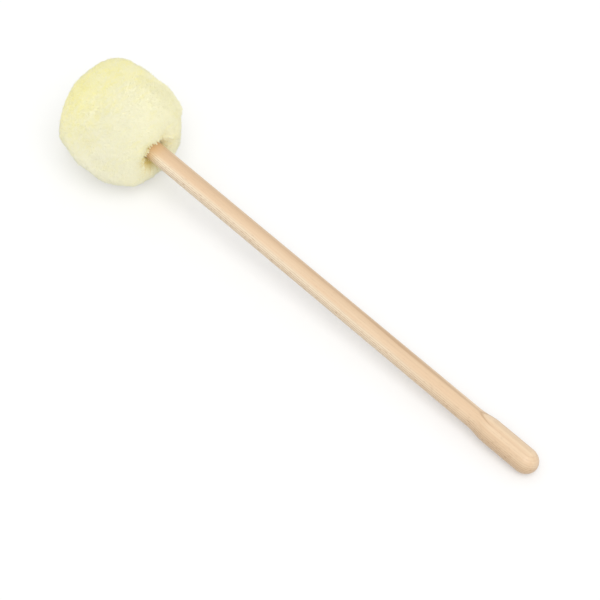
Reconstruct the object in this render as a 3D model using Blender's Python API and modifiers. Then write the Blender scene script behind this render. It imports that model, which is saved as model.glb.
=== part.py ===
"""Percussion mallet: a turned wooden handle with a round, fleece-covered head.

Units are metres and +Z is up. The mallet lies at rest on the plane z = 0, on its
head and on the knob at the end of its grip. Its axis is in the XZ plane, the crown
of the head towards -X and the knob towards +X. The origin is the bottom centre of
its bounding box.

Every turned piece is drawn in the frame of the mallet's axis: local Z is the axis,
local z = 0 is the centre of the head, the crown is at +Z and the handle runs to -Z.
A profile is a list of (radius, z) points in that frame.
"""

import math

import bpy

OBJECT_NAME = "percussion_mallet"

# Space left between two pieces that touch on the real mallet.
GAP = 0.0003

# Handle: its radius at the neck and at the grip, and the turned knob at its end.
SHAFT_NECK_RADIUS = 0.00575
SHAFT_GRIP_RADIUS = 0.0060
KNOB_RADIUS = 0.00725
FLARE_START = 0.2710
FLARE_LENGTH = 0.0125
KNOB_LENGTH = 0.0240
KNOB_DOME_LENGTH = 0.0080

# Tenon at the head's end of the handle, and the wood of the core that stays above it.
TENON_RADIUS = 0.0045
TENON_CHAMFER = 0.0006
CROWN_WEB = 0.0050

# Layers of the head, from the core outwards.
CORE_RADIUS = 0.0180
CORE_SEAT_MARGIN = 0.0012
FELT_THICKNESS = 0.0030
PADDING_THICKNESS = 0.0040
BACKING_THICKNESS = 0.0008
PILE_LENGTH = 0.0072

# Outer form of the pile: how far it stands out past a round ball at the neck, how
# square its outline is (2 is a circle), and the dimple that the handle enters.
PILE_NECK_FULLNESS = 0.0015
PILE_SQUARENESS = 2.30
PILE_NECK_DEPTH = 0.0010
DIMPLE_SPREAD = math.radians(13.0)
FLAT_DEPTH = 0.0005

# Wood screw and washer that hold the core on the tenon.
SCREW_LENGTH = 0.0250
SCREW_HEAD_RADIUS = 0.0038
SCREW_HEAD_HEIGHT = 0.0022
SCREW_HEAD_ROUNDING = 0.0014
SCREW_ROOT_RADIUS = 0.0014
SCREW_THREAD_DEPTH = 0.0006
SCREW_THREAD_PITCH = 0.0018
THREAD_FLANK_SHARE = 0.25
SCREW_PLAIN_LENGTH = 0.0060
SCREW_POINT_LENGTH = 0.0036
DRIVE_SLOT_LENGTH = 0.0042
DRIVE_SLOT_WIDTH = 0.0009
DRIVE_SLOT_DEPTH = 0.0012
WASHER_RADIUS = 0.0055
WASHER_THICKNESS = 0.0010

# Gathering thread in the cover's hem: one unbroken length, wound round the neck.
THREAD_RADIUS = 0.00035
THREAD_TURNS = 1.5
THREAD_PITCH = 0.0012
HEM_SWEEP = math.radians(235.0)

# How finely the round forms are divided. The pile's points crowd towards the neck.
STEPS_AROUND = 32
STEPS_SCREW = 16
ARC_STEP = math.radians(10.0)
SMALL_ARC_STEP = math.radians(22.0)
THREAD_POINTS_PER_TURN = 24
SCREW_RINGS_PER_PITCH = 4
FLARE_POINTS = 6
DOME_POINTS = 9
PILE_POINTS = 28
PILE_CROWDING = 0.6

# Sizes that follow from the driving dimensions.
NECK_CLEARANCE_RADIUS = SHAFT_NECK_RADIUS + GAP
FELT_INNER_RADIUS = CORE_RADIUS + GAP
FELT_RADIUS = FELT_INNER_RADIUS + FELT_THICKNESS
PADDING_INNER_RADIUS = FELT_RADIUS + GAP
PADDING_RADIUS = PADDING_INNER_RADIUS + PADDING_THICKNESS
BACKING_RADIUS = PADDING_RADIUS + GAP + BACKING_THICKNESS
PILE_INNER_RADIUS = BACKING_RADIUS + GAP
HEAD_RADIUS = PILE_INNER_RADIUS + PILE_LENGTH

SCREW_OUTER_RADIUS = SCREW_ROOT_RADIUS + SCREW_THREAD_DEPTH
SCREW_HOLE_RADIUS = SCREW_OUTER_RADIUS + GAP
RECESS_RADIUS = WASHER_RADIUS + GAP
RECESS_RIM_Z = math.sqrt(CORE_RADIUS**2 - RECESS_RADIUS**2)
RECESS_FLOOR_Z = RECESS_RIM_Z - WASHER_THICKNESS - SCREW_HEAD_HEIGHT - 3 * GAP
WASHER_BASE_Z = RECESS_FLOOR_Z + GAP
SCREW_SEAT_Z = WASHER_BASE_Z + WASHER_THICKNESS + GAP
SCREW_THREAD_TOP_Z = SCREW_SEAT_Z - SCREW_PLAIN_LENGTH
SCREW_TIP_Z = SCREW_SEAT_Z - SCREW_LENGTH

CORE_SEAT_RADIUS = SHAFT_NECK_RADIUS + CORE_SEAT_MARGIN
CORE_SEAT_Z = -math.sqrt(CORE_RADIUS**2 - CORE_SEAT_RADIUS**2)
BORE_RADIUS = TENON_RADIUS + GAP
BORE_TOP_Z = RECESS_FLOOR_Z - CROWN_WEB
TENON_TOP_Z = BORE_TOP_Z - GAP
SHOULDER_Z = CORE_SEAT_Z - GAP

THREAD_BUNDLE_RADIUS = THREAD_TURNS * THREAD_PITCH / 2 + THREAD_RADIUS
CASING_RADIUS = THREAD_BUNDLE_RADIUS + GAP + BACKING_THICKNESS
CASING_CENTRE_RADIUS = NECK_CLEARANCE_RADIUS + CASING_RADIUS
CASING_CENTRE_REACH = BACKING_RADIUS - CASING_RADIUS
CASING_CENTRE_Z = -math.sqrt(CASING_CENTRE_REACH**2 - CASING_CENTRE_RADIUS**2)
CASING_ANGLE = math.atan2(CASING_CENTRE_Z, CASING_CENTRE_RADIUS)
PADDING_NECK_RADIUS = CASING_CENTRE_RADIUS + CASING_RADIUS + GAP

QUARTER_TURN = math.pi / 2
MERGE_DISTANCE = 0.00001


def clear_scene():
    """Remove whatever the scene holds."""
    for item in list(bpy.data.objects):
        bpy.data.objects.remove(item, do_unlink=True)


def new_collection(name):
    """Add an empty collection to the scene."""
    collection = bpy.data.collections.new(name)
    bpy.context.scene.collection.children.link(collection)
    return collection


def new_material(name, colour, roughness, metallic=0.0):
    """Make a Principled material of one colour (linear RGB)."""
    material = bpy.data.materials.new(name)
    material.use_nodes = True
    shader = material.node_tree.nodes["Principled BSDF"]
    shader.inputs["Base Color"].default_value = (*colour, 1.0)
    shader.inputs["Roughness"].default_value = roughness
    shader.inputs["Metallic"].default_value = metallic
    return material


def arc(centre, radius, start, end, step=ARC_STEP):
    """Points (radius, z) of a circular arc between two angles, both ends included."""
    count = max(2, math.ceil(abs(end - start) / step))
    points = []
    for index in range(count + 1):
        angle = start + (end - start) * index / count
        points.append((centre[0] + radius * math.cos(angle), centre[1] + radius * math.sin(angle)))
    return points


def on_axis(points, end):
    """Put the first or last point of a profile exactly on the axis."""
    fixed = list(points)
    fixed[end] = (0.0, fixed[end][1])
    return fixed


def profile_mesh(name, profile, closed):
    """A mesh of the profile's edges, in the XZ plane."""
    vertices = [(radius, 0.0, z) for radius, z in profile]
    edges = [(index, index + 1) for index in range(len(profile) - 1)]
    if closed:
        edges.append((len(profile) - 1, 0))
    mesh = bpy.data.meshes.new(name)
    mesh.from_pydata(vertices, edges, [])
    return mesh


def turned(name, profile, closed=False, steps=STEPS_AROUND):
    """Turn a profile about the mallet's axis. A closed profile keeps clear of the axis."""
    piece = bpy.data.objects.new(name, profile_mesh(name, profile, closed))
    screw = piece.modifiers.new("turn", "SCREW")
    screw.axis = "Z"
    screw.steps = steps
    screw.render_steps = steps
    screw.use_merge_vertices = True
    screw.merge_threshold = MERGE_DISTANCE
    screw.use_smooth_shade = True
    return piece


def layer_profile(inner_radius, outer_radius, neck_radius):
    """A round layer of the head with a straight hole through it at the neck."""
    outer_end = -math.acos(neck_radius / outer_radius)
    inner_start = -math.acos(neck_radius / inner_radius)
    outside = arc((0.0, 0.0), outer_radius, QUARTER_TURN, outer_end)
    inside = arc((0.0, 0.0), inner_radius, inner_start, QUARTER_TURN)
    return on_axis(on_axis(outside + inside, 0), -1)


def smooth_step(share):
    """A smooth rise from 0 to 1."""
    return share * share * (3.0 - 2.0 * share)


def shaft_profile():
    """Tenon with its pilot hole, shoulder, slightly tapered handle, flare, knob and dome."""
    hole_end_z = SCREW_TIP_Z - GAP
    points = [
        (0.0, hole_end_z - SCREW_HOLE_RADIUS / 2),
        (SCREW_HOLE_RADIUS, hole_end_z),
        (SCREW_HOLE_RADIUS, TENON_TOP_Z),
        (TENON_RADIUS - TENON_CHAMFER, TENON_TOP_Z),
        (TENON_RADIUS, TENON_TOP_Z - TENON_CHAMFER),
        (TENON_RADIUS, SHOULDER_Z),
        (SHAFT_NECK_RADIUS, SHOULDER_Z),
        (SHAFT_GRIP_RADIUS, -FLARE_START),
    ]
    for index in range(1, FLARE_POINTS + 1):
        share = index / FLARE_POINTS
        radius = SHAFT_GRIP_RADIUS + (KNOB_RADIUS - SHAFT_GRIP_RADIUS) * smooth_step(share)
        points.append((radius, -FLARE_START - FLARE_LENGTH * share))
    dome_z = -FLARE_START - FLARE_LENGTH - KNOB_LENGTH
    for index in range(DOME_POINTS + 1):
        angle = QUARTER_TURN * index / DOME_POINTS
        points.append((KNOB_RADIUS * math.cos(angle), dome_z - KNOB_DOME_LENGTH * math.sin(angle)))
    return on_axis(points, -1)


def core_profile():
    """Ball with a blind bore for the tenon, a seat for its shoulder and a crown recess."""
    points = [(SCREW_HOLE_RADIUS, RECESS_FLOOR_Z), (RECESS_RADIUS, RECESS_FLOOR_Z)]
    rim_angle = math.atan2(RECESS_RIM_Z, RECESS_RADIUS)
    seat_angle = math.atan2(CORE_SEAT_Z, CORE_SEAT_RADIUS)
    points += arc((0.0, 0.0), CORE_RADIUS, rim_angle, seat_angle)
    points += [
        (BORE_RADIUS, CORE_SEAT_Z),
        (BORE_RADIUS, BORE_TOP_Z),
        (SCREW_HOLE_RADIUS, BORE_TOP_Z),
    ]
    return points


def washer_profile():
    """Flat ring under the screw's head."""
    top = WASHER_BASE_Z + WASHER_THICKNESS
    return [
        (SCREW_HOLE_RADIUS, top),
        (WASHER_RADIUS, top),
        (WASHER_RADIUS, WASHER_BASE_Z),
        (SCREW_HOLE_RADIUS, WASHER_BASE_Z),
    ]


def screw_blank_profile():
    """Pan head, plain shank, and a threaded length divided finely enough for its ridge."""
    top_z = SCREW_SEAT_Z + SCREW_HEAD_HEIGHT
    rounding_centre = (SCREW_HEAD_RADIUS - SCREW_HEAD_ROUNDING, top_z - SCREW_HEAD_ROUNDING)
    points = [(0.0, top_z)]
    points += arc(rounding_centre, SCREW_HEAD_ROUNDING, QUARTER_TURN, 0.0, 2 * SMALL_ARC_STEP)
    points += [
        (SCREW_HEAD_RADIUS, SCREW_SEAT_Z),
        (SCREW_OUTER_RADIUS, SCREW_SEAT_Z),
        (SCREW_OUTER_RADIUS, SCREW_THREAD_TOP_Z + SCREW_THREAD_DEPTH),
    ]
    threaded_length = SCREW_THREAD_TOP_Z - SCREW_TIP_Z
    count = math.ceil(threaded_length * SCREW_RINGS_PER_PITCH / SCREW_THREAD_PITCH)
    for index in range(count):
        z = SCREW_THREAD_TOP_Z - threaded_length * index / count
        taper = min(1.0, (z - SCREW_TIP_Z) / SCREW_POINT_LENGTH)
        points.append((SCREW_ROOT_RADIUS * taper, z))
    points.append((0.0, SCREW_TIP_Z))
    return points


def raise_thread(piece):
    """Lift the screw's thread out of its blank as one right-hand helical ridge."""
    for vertex in piece.data.vertices:
        x, y, z = vertex.co
        radius = math.hypot(x, y)
        if z > SCREW_THREAD_TOP_Z - MERGE_DISTANCE or radius < MERGE_DISTANCE:
            continue
        turn = math.atan2(y, x) / (2 * math.pi)
        phase = (z / SCREW_THREAD_PITCH - turn) % 1.0
        ridge = max(0.0, 1.0 - abs(phase - 0.5) / THREAD_FLANK_SHARE)
        run_in = min(1.0, (SCREW_THREAD_TOP_Z - z) / SCREW_THREAD_PITCH)
        run_out = min(1.0, (z - SCREW_TIP_Z) / SCREW_POINT_LENGTH)
        lift = 1.0 + SCREW_THREAD_DEPTH * ridge * run_in * run_out / radius
        vertex.co.x = x * lift
        vertex.co.y = y * lift


def backing_profile():
    """Outer line of the cover's cloth: over the ball, then rolled in as a hem at the neck."""
    ball = on_axis(arc((0.0, 0.0), BACKING_RADIUS, QUARTER_TURN, CASING_ANGLE), 0)
    centre = (CASING_CENTRE_RADIUS, CASING_CENTRE_Z)
    hem = arc(centre, CASING_RADIUS, CASING_ANGLE, CASING_ANGLE - HEM_SWEEP, SMALL_ARC_STEP)
    return ball + hem[1:]


def pile_reach(angle):
    """Distance from the head's centre to the round outside of the pile.

    The angle is measured from the handle's direction, and the outline is a
    superellipse that stands out further on the handle's side.
    """
    across = abs(math.sin(angle))
    along = abs(math.cos(angle))
    handle_side = max(0.0, math.cos(angle)) ** 2
    half_length = HEAD_RADIUS + PILE_NECK_FULLNESS * handle_side
    power = PILE_SQUARENESS
    return ((across / HEAD_RADIUS) ** power + (along / half_length) ** power) ** (-1.0 / power)


def pile_profile():
    """Outside of the pile with its dimple, then the neck and the inside against the cover."""
    outer_neck_z = math.sqrt(PILE_INNER_RADIUS**2 - NECK_CLEARANCE_RADIUS**2) + PILE_NECK_DEPTH
    neck_angle = math.atan2(NECK_CLEARANCE_RADIUS, outer_neck_z)
    neck_reach = math.hypot(NECK_CLEARANCE_RADIUS, outer_neck_z)
    depth_at_neck = pile_reach(neck_angle) - neck_reach
    dimple_depth = depth_at_neck * math.exp((neck_angle / DIMPLE_SPREAD) ** 2)

    points = []
    for index in range(PILE_POINTS + 1):
        share = index / PILE_POINTS
        crowded = share + PILE_CROWDING * share * (1.0 - share)
        angle = math.pi - (math.pi - neck_angle) * crowded
        reach = pile_reach(angle) - dimple_depth * math.exp(-((angle / DIMPLE_SPREAD) ** 2))
        points.append((reach * math.sin(angle), -reach * math.cos(angle)))
    points[-1] = (NECK_CLEARANCE_RADIUS, -outer_neck_z)

    centre = (CASING_CENTRE_RADIUS, CASING_CENTRE_Z)
    root_radius = CASING_RADIUS + GAP
    root_angle = -math.pi + math.acos((CASING_CENTRE_RADIUS - NECK_CLEARANCE_RADIUS) / root_radius)
    points += arc(centre, root_radius, root_angle, CASING_ANGLE, SMALL_ARC_STEP)
    points += arc((0.0, 0.0), PILE_INNER_RADIUS, CASING_ANGLE, QUARTER_TURN)[1:]
    return on_axis(on_axis(points, 0), -1)


def thread_path():
    """Points along the middle of the gathering thread, a short helix round the neck."""
    count = math.ceil(THREAD_TURNS * THREAD_POINTS_PER_TURN)
    points = []
    for index in range(count + 1):
        turns = THREAD_TURNS * index / count
        angle = 2 * math.pi * turns
        z = CASING_CENTRE_Z + THREAD_PITCH * (turns - THREAD_TURNS / 2)
        points.append((CASING_CENTRE_RADIUS * math.cos(angle), CASING_CENTRE_RADIUS * math.sin(angle), z))
    return points


def least_gap_to_itself(path, radius, points_apart):
    """Smallest distance between the surfaces of two stretches of one tube."""
    least = math.inf
    for index, point in enumerate(path):
        for other in path[index + points_apart:]:
            least = min(least, math.dist(point, other) - 2 * radius)
    return least


def thread_curve(name):
    """The gathering thread as a round tube along its helix."""
    path = thread_path()
    gap = least_gap_to_itself(path, THREAD_RADIUS, THREAD_POINTS_PER_TURN // 2)
    print(f"{name}: least gap between its turns {gap * 1000:.2f} mm")
    curve = bpy.data.curves.new(name, "CURVE")
    curve.dimensions = "3D"
    curve.bevel_depth = THREAD_RADIUS
    curve.bevel_resolution = 2
    curve.use_fill_caps = True
    spline = curve.splines.new("POLY")
    spline.points.add(len(path) - 1)
    for point, position in zip(spline.points, path):
        point.co = (*position, 1.0)
    return bpy.data.objects.new(name, curve)


def depth_below_centre(profile, tilt):
    """How far a turned piece reaches below the head's centre when the mallet is tilted."""
    return max(radius * math.cos(tilt) - z * math.sin(tilt) for radius, z in profile)


def rest_tilt():
    """Tilt at which the flat of the head and the knob both lie on z = 0."""
    low = 0.0
    high = math.radians(45.0)
    pile = pile_profile()
    shaft = shaft_profile()
    for _ in range(60):
        tilt = (low + high) / 2
        head_height = depth_below_centre(pile, tilt) - FLAT_DEPTH
        if depth_below_centre(shaft, tilt) < head_height:
            low = tilt
        else:
            high = tilt
    return (low + high) / 2


def head_centre(tilt):
    """Place of the head's centre, with the bounding box centred on x = 0."""
    pile = pile_profile()
    crown_reach = max(z * math.cos(tilt) + radius * math.sin(tilt) for radius, z in pile)
    knob_reach = max(radius * math.sin(tilt) - z * math.cos(tilt) for radius, z in shaft_profile())
    height = depth_below_centre(pile, tilt) - FLAT_DEPTH
    return ((crown_reach - knob_reach) / 2, 0.0, height)


def box(name, size, location):
    """A box with its scale applied."""
    bpy.ops.mesh.primitive_cube_add(size=1.0, location=location)
    item = bpy.context.active_object
    item.name = name
    for vertex in item.data.vertices:
        vertex.co.x *= size[0]
        vertex.co.y *= size[1]
        vertex.co.z *= size[2]
    return item


def place(piece, collection, axis, material):
    """Put a piece in its collection, in the axis frame, with its material."""
    collection.objects.link(piece)
    piece.parent = axis
    piece.data.materials.append(material)
    return piece


def as_cutter(item, cutters, axis=None):
    """Keep an object only with the cutters, as a hidden wire form."""
    for old in list(item.users_collection):
        old.objects.unlink(item)
    cutters.objects.link(item)
    item.hide_render = True
    item.display_type = "WIRE"
    item.parent = axis
    return item


def cut(piece, cutter):
    """Take the cutter's shape away from a piece."""
    difference = piece.modifiers.new("cut " + cutter.name, "BOOLEAN")
    difference.operation = "DIFFERENCE"
    difference.object = cutter
    difference.solver = "EXACT"


def apply_modifiers(piece):
    """Replace a piece's mesh by its evaluated one."""
    bpy.context.view_layer.update()
    evaluated = piece.evaluated_get(bpy.context.evaluated_depsgraph_get())
    mesh = bpy.data.meshes.new_from_object(evaluated)
    mesh.name = piece.name
    piece.modifiers.clear()
    piece.data = mesh


def build_handle(model, axis):
    """The one-piece handle."""
    wood = new_material("handle_wood", (0.80, 0.60, 0.41), 0.42)
    place(turned("shaft", shaft_profile()), model, axis, wood)


def build_core(model, axis, cutters):
    """The core, with the washer and the cross-head screw that hold it on the tenon."""
    wood = new_material("core_wood", (0.62, 0.43, 0.26), 0.60)
    steel = new_material("plated_steel", (0.66, 0.65, 0.62), 0.35, 1.0)
    place(turned("core", core_profile(), closed=True), model, axis, wood)
    place(turned("core_washer", washer_profile(), closed=True), model, axis, steel)

    screw = turned("core_screw", screw_blank_profile(), steps=STEPS_SCREW)
    place(screw, model, axis, steel)
    apply_modifiers(screw)
    raise_thread(screw)
    top_z = SCREW_SEAT_Z + SCREW_HEAD_HEIGHT
    for name, length_x, length_y in (
        ("drive_slot_x", DRIVE_SLOT_LENGTH, DRIVE_SLOT_WIDTH),
        ("drive_slot_y", DRIVE_SLOT_WIDTH, DRIVE_SLOT_LENGTH),
    ):
        slot = box(name, (length_x, length_y, 2 * DRIVE_SLOT_DEPTH), (0.0, 0.0, top_z))
        cut(screw, as_cutter(slot, cutters, axis))


def build_wrapping(model, axis):
    """Felt wrap, padding, the cover's cloth with its hem, and the gathering thread."""
    hard_felt = new_material("hard_felt", (0.78, 0.76, 0.70), 0.95)
    felt = layer_profile(FELT_INNER_RADIUS, FELT_RADIUS, NECK_CLEARANCE_RADIUS)
    place(turned("inner_felt", felt), model, axis, hard_felt)

    wadding = new_material("wadding", (0.86, 0.84, 0.76), 0.95)
    padding = layer_profile(PADDING_INNER_RADIUS, PADDING_RADIUS, PADDING_NECK_RADIUS)
    place(turned("padding", padding), model, axis, wadding)

    backing = turned("cover_backing", backing_profile())
    cloth = backing.modifiers.new("thickness", "SOLIDIFY")
    cloth.thickness = BACKING_THICKNESS
    cloth.offset = -1.0
    place(backing, model, axis, new_material("knitted_backing", (0.82, 0.78, 0.58), 0.90))

    waxed_thread = new_material("waxed_thread", (0.80, 0.76, 0.60), 0.60)
    place(thread_curve("gathering_thread"), model, axis, waxed_thread)


def build_pile(model, axis, cutters):
    """The pile, cut flat where it lies on z = 0."""
    pile = turned("pile", pile_profile())
    place(pile, model, axis, new_material("fleece", (0.88, 0.85, 0.58), 0.95))
    size = (2 * HEAD_RADIUS, 2 * HEAD_RADIUS, HEAD_RADIUS)
    below = box("resting_plane", size, (axis.location.x, 0.0, -HEAD_RADIUS / 2))
    cut(pile, as_cutter(below, cutters))


def main():
    """Build every piece in the frame of the mallet's axis and lay the mallet down."""
    clear_scene()
    model = new_collection(OBJECT_NAME)
    cutters = new_collection("cutters")

    tilt = rest_tilt()
    axis = bpy.data.objects.new("mallet_axis", None)
    axis.location = head_centre(tilt)
    axis.rotation_euler = (0.0, tilt - QUARTER_TURN, 0.0)
    model.objects.link(axis)

    build_handle(model, axis)
    build_core(model, axis, cutters)
    build_wrapping(model, axis)
    build_pile(model, axis, cutters)

    reach = -shaft_profile()[-1][1]
    print(f"head centre at x {axis.location.x * 1000:.3f}, z {axis.location.z * 1000:.3f} mm")
    print(f"axis tilted {math.degrees(tilt):.4f} degrees, its end {reach * 1000:.2f} mm from the centre")


main()
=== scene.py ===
"""Looks of the percussion mallet: its fleece head, its turned handle and what the head holds.

Units are metres and +Z is up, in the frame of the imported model. Every turned piece is built
in the frame of the mallet's own axis: local Z is the axis, local z = 0 is the centre of the
head, the crown of the head is at +Z and the handle runs to -Z.
"""

import logging
import math
from dataclasses import dataclass, field
from enum import Enum
from typing import Optional, Sequence

import bpy
import numpy as np
from mathutils import Matrix, Vector


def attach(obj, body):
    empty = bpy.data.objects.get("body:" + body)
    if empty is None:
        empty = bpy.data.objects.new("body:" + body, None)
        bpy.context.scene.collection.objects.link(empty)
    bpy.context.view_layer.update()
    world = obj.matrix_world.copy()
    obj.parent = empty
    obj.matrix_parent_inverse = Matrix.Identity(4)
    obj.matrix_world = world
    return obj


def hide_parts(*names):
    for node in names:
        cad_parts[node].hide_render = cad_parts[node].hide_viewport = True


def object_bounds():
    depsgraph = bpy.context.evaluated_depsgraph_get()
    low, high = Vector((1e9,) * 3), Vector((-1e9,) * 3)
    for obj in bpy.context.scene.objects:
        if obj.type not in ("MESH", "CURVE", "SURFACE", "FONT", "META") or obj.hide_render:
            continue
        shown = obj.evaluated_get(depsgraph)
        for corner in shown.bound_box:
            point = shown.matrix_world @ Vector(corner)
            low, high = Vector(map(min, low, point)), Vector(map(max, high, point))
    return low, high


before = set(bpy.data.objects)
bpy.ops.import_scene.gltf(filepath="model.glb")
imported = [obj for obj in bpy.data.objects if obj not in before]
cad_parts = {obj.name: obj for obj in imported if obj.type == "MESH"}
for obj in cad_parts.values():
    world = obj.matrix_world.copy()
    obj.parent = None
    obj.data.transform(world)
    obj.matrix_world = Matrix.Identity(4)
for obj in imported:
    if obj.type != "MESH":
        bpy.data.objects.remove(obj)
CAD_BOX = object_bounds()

LOG = logging.getLogger("mallet")

Colour = tuple[float, float, float]
Profile = list[tuple[float, float]]
Span = tuple[float, float]

BODY = "root"
BAKE_MAP = "OFBake"
ALONG = "along"
QUARTER_TURN = math.pi / 2
FULL_TURN = 2 * math.pi
GOLDEN_TURN = math.pi * (3.0 - math.sqrt(5.0))

# Space that two pieces keep between them where they touch on the real mallet.
GAP = 0.0003

# The wave texture's scale at which one of its bands is a metre wide.
METRE_WAVE_SCALE = 0.314


class Slot(Enum):
    """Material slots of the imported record."""

    HANDLE = "handle_wood"
    CORE = "core_wood"
    STEEL = "plated_steel"
    FELT = "hard_felt"
    WADDING = "wadding"
    CLOTH = "knitted_backing"
    THREAD = "waxed_thread"
    FLEECE = "fleece"


def smooth_step(share: np.ndarray) -> np.ndarray:
    """A smooth rise from 0 to 1."""
    return share * share * (3.0 - 2.0 * share)


def unit(vectors: np.ndarray) -> np.ndarray:
    """Rows of vectors, each brought to length 1."""
    return vectors / np.linalg.norm(vectors, axis=1, keepdims=True)


def spread_directions(count: int) -> np.ndarray:
    """Evenly spread directions over the whole sphere.

    Args:
        count: How many directions.

    Returns:
        An array of count unit vectors, on a golden-angle spiral.
    """
    index = np.arange(count) + 0.5
    height = 1.0 - 2.0 * index / count
    across = np.sqrt(1.0 - height**2)
    turn = index * GOLDEN_TURN
    return np.stack((across * np.cos(turn), across * np.sin(turn), height), axis=1)


def arc(
    centre: tuple[float, float], radius: float, start: float, end: float, steps: int
) -> Profile:
    """Points of a circular arc in a turned profile.

    Args:
        centre: Its centre, as (radius, z).
        radius: Its radius.
        start: Angle of the first point.
        end: Angle of the last point.
        steps: How many equal steps it has.

    Returns:
        The points as (radius, z), both ends included.
    """
    angles = np.linspace(start, end, steps + 1)
    return [(centre[0] + radius * math.cos(a), centre[1] + radius * math.sin(a)) for a in angles]


@dataclass(frozen=True)
class MalletAxis:
    """Where the mallet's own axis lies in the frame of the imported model.

    Attributes:
        centre: The head's centre.
        towards_crown: Unit vector along the axis, from the knob to the crown.
    """

    centre: Vector
    towards_crown: Vector

    @classmethod
    def from_handle(cls, node: bpy.types.Object, reach: float) -> "MalletAxis":
        """Read the axis from the handle's mesh, which is turned about it.

        Args:
            node: The handle's CAD node.
            reach: Distance from the head's centre to the end of the knob.

        Returns:
            The axis.
        """
        flat = np.empty(len(node.data.vertices) * 3, np.float32)
        node.data.vertices.foreach_get("co", flat)
        points = flat.reshape(-1, 3).astype(float)
        middle = points.mean(axis=0)
        along = np.linalg.svd(points - middle, full_matrices=False)[2][0]
        along *= -np.sign(along[0])
        end = ((points - middle) @ along).min()
        return cls(Vector(middle + along * (end + reach)), Vector(along))

    def matrix(self) -> Matrix:
        """The axis frame as a 4x4: local X is the side that faces up.

        Returns:
            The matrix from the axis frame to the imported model's.
        """
        across = Vector((0.0, 1.0, 0.0))
        upward = across.cross(self.towards_crown).normalized()
        turn = Matrix((upward, across, self.towards_crown)).transposed()
        return Matrix.Translation(self.centre) @ turn.to_4x4()

    def to_local(self, direction: Vector) -> Vector:
        """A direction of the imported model's frame, in the axis frame."""
        return self.matrix().to_3x3().transposed() @ direction

    def heights(self, points: np.ndarray) -> np.ndarray:
        """World heights of points given in the axis frame."""
        matrix = np.array(self.matrix())
        return points @ matrix[2, :3] + matrix[2, 3]

    def lifted(self, points: np.ndarray, lowest: np.ndarray) -> np.ndarray:
        """Points of the axis frame, raised where they lie below a world height."""
        short = np.maximum(0.0, lowest - self.heights(points))
        return points + short[..., None] * np.array(self.matrix())[2, :3]


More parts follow.
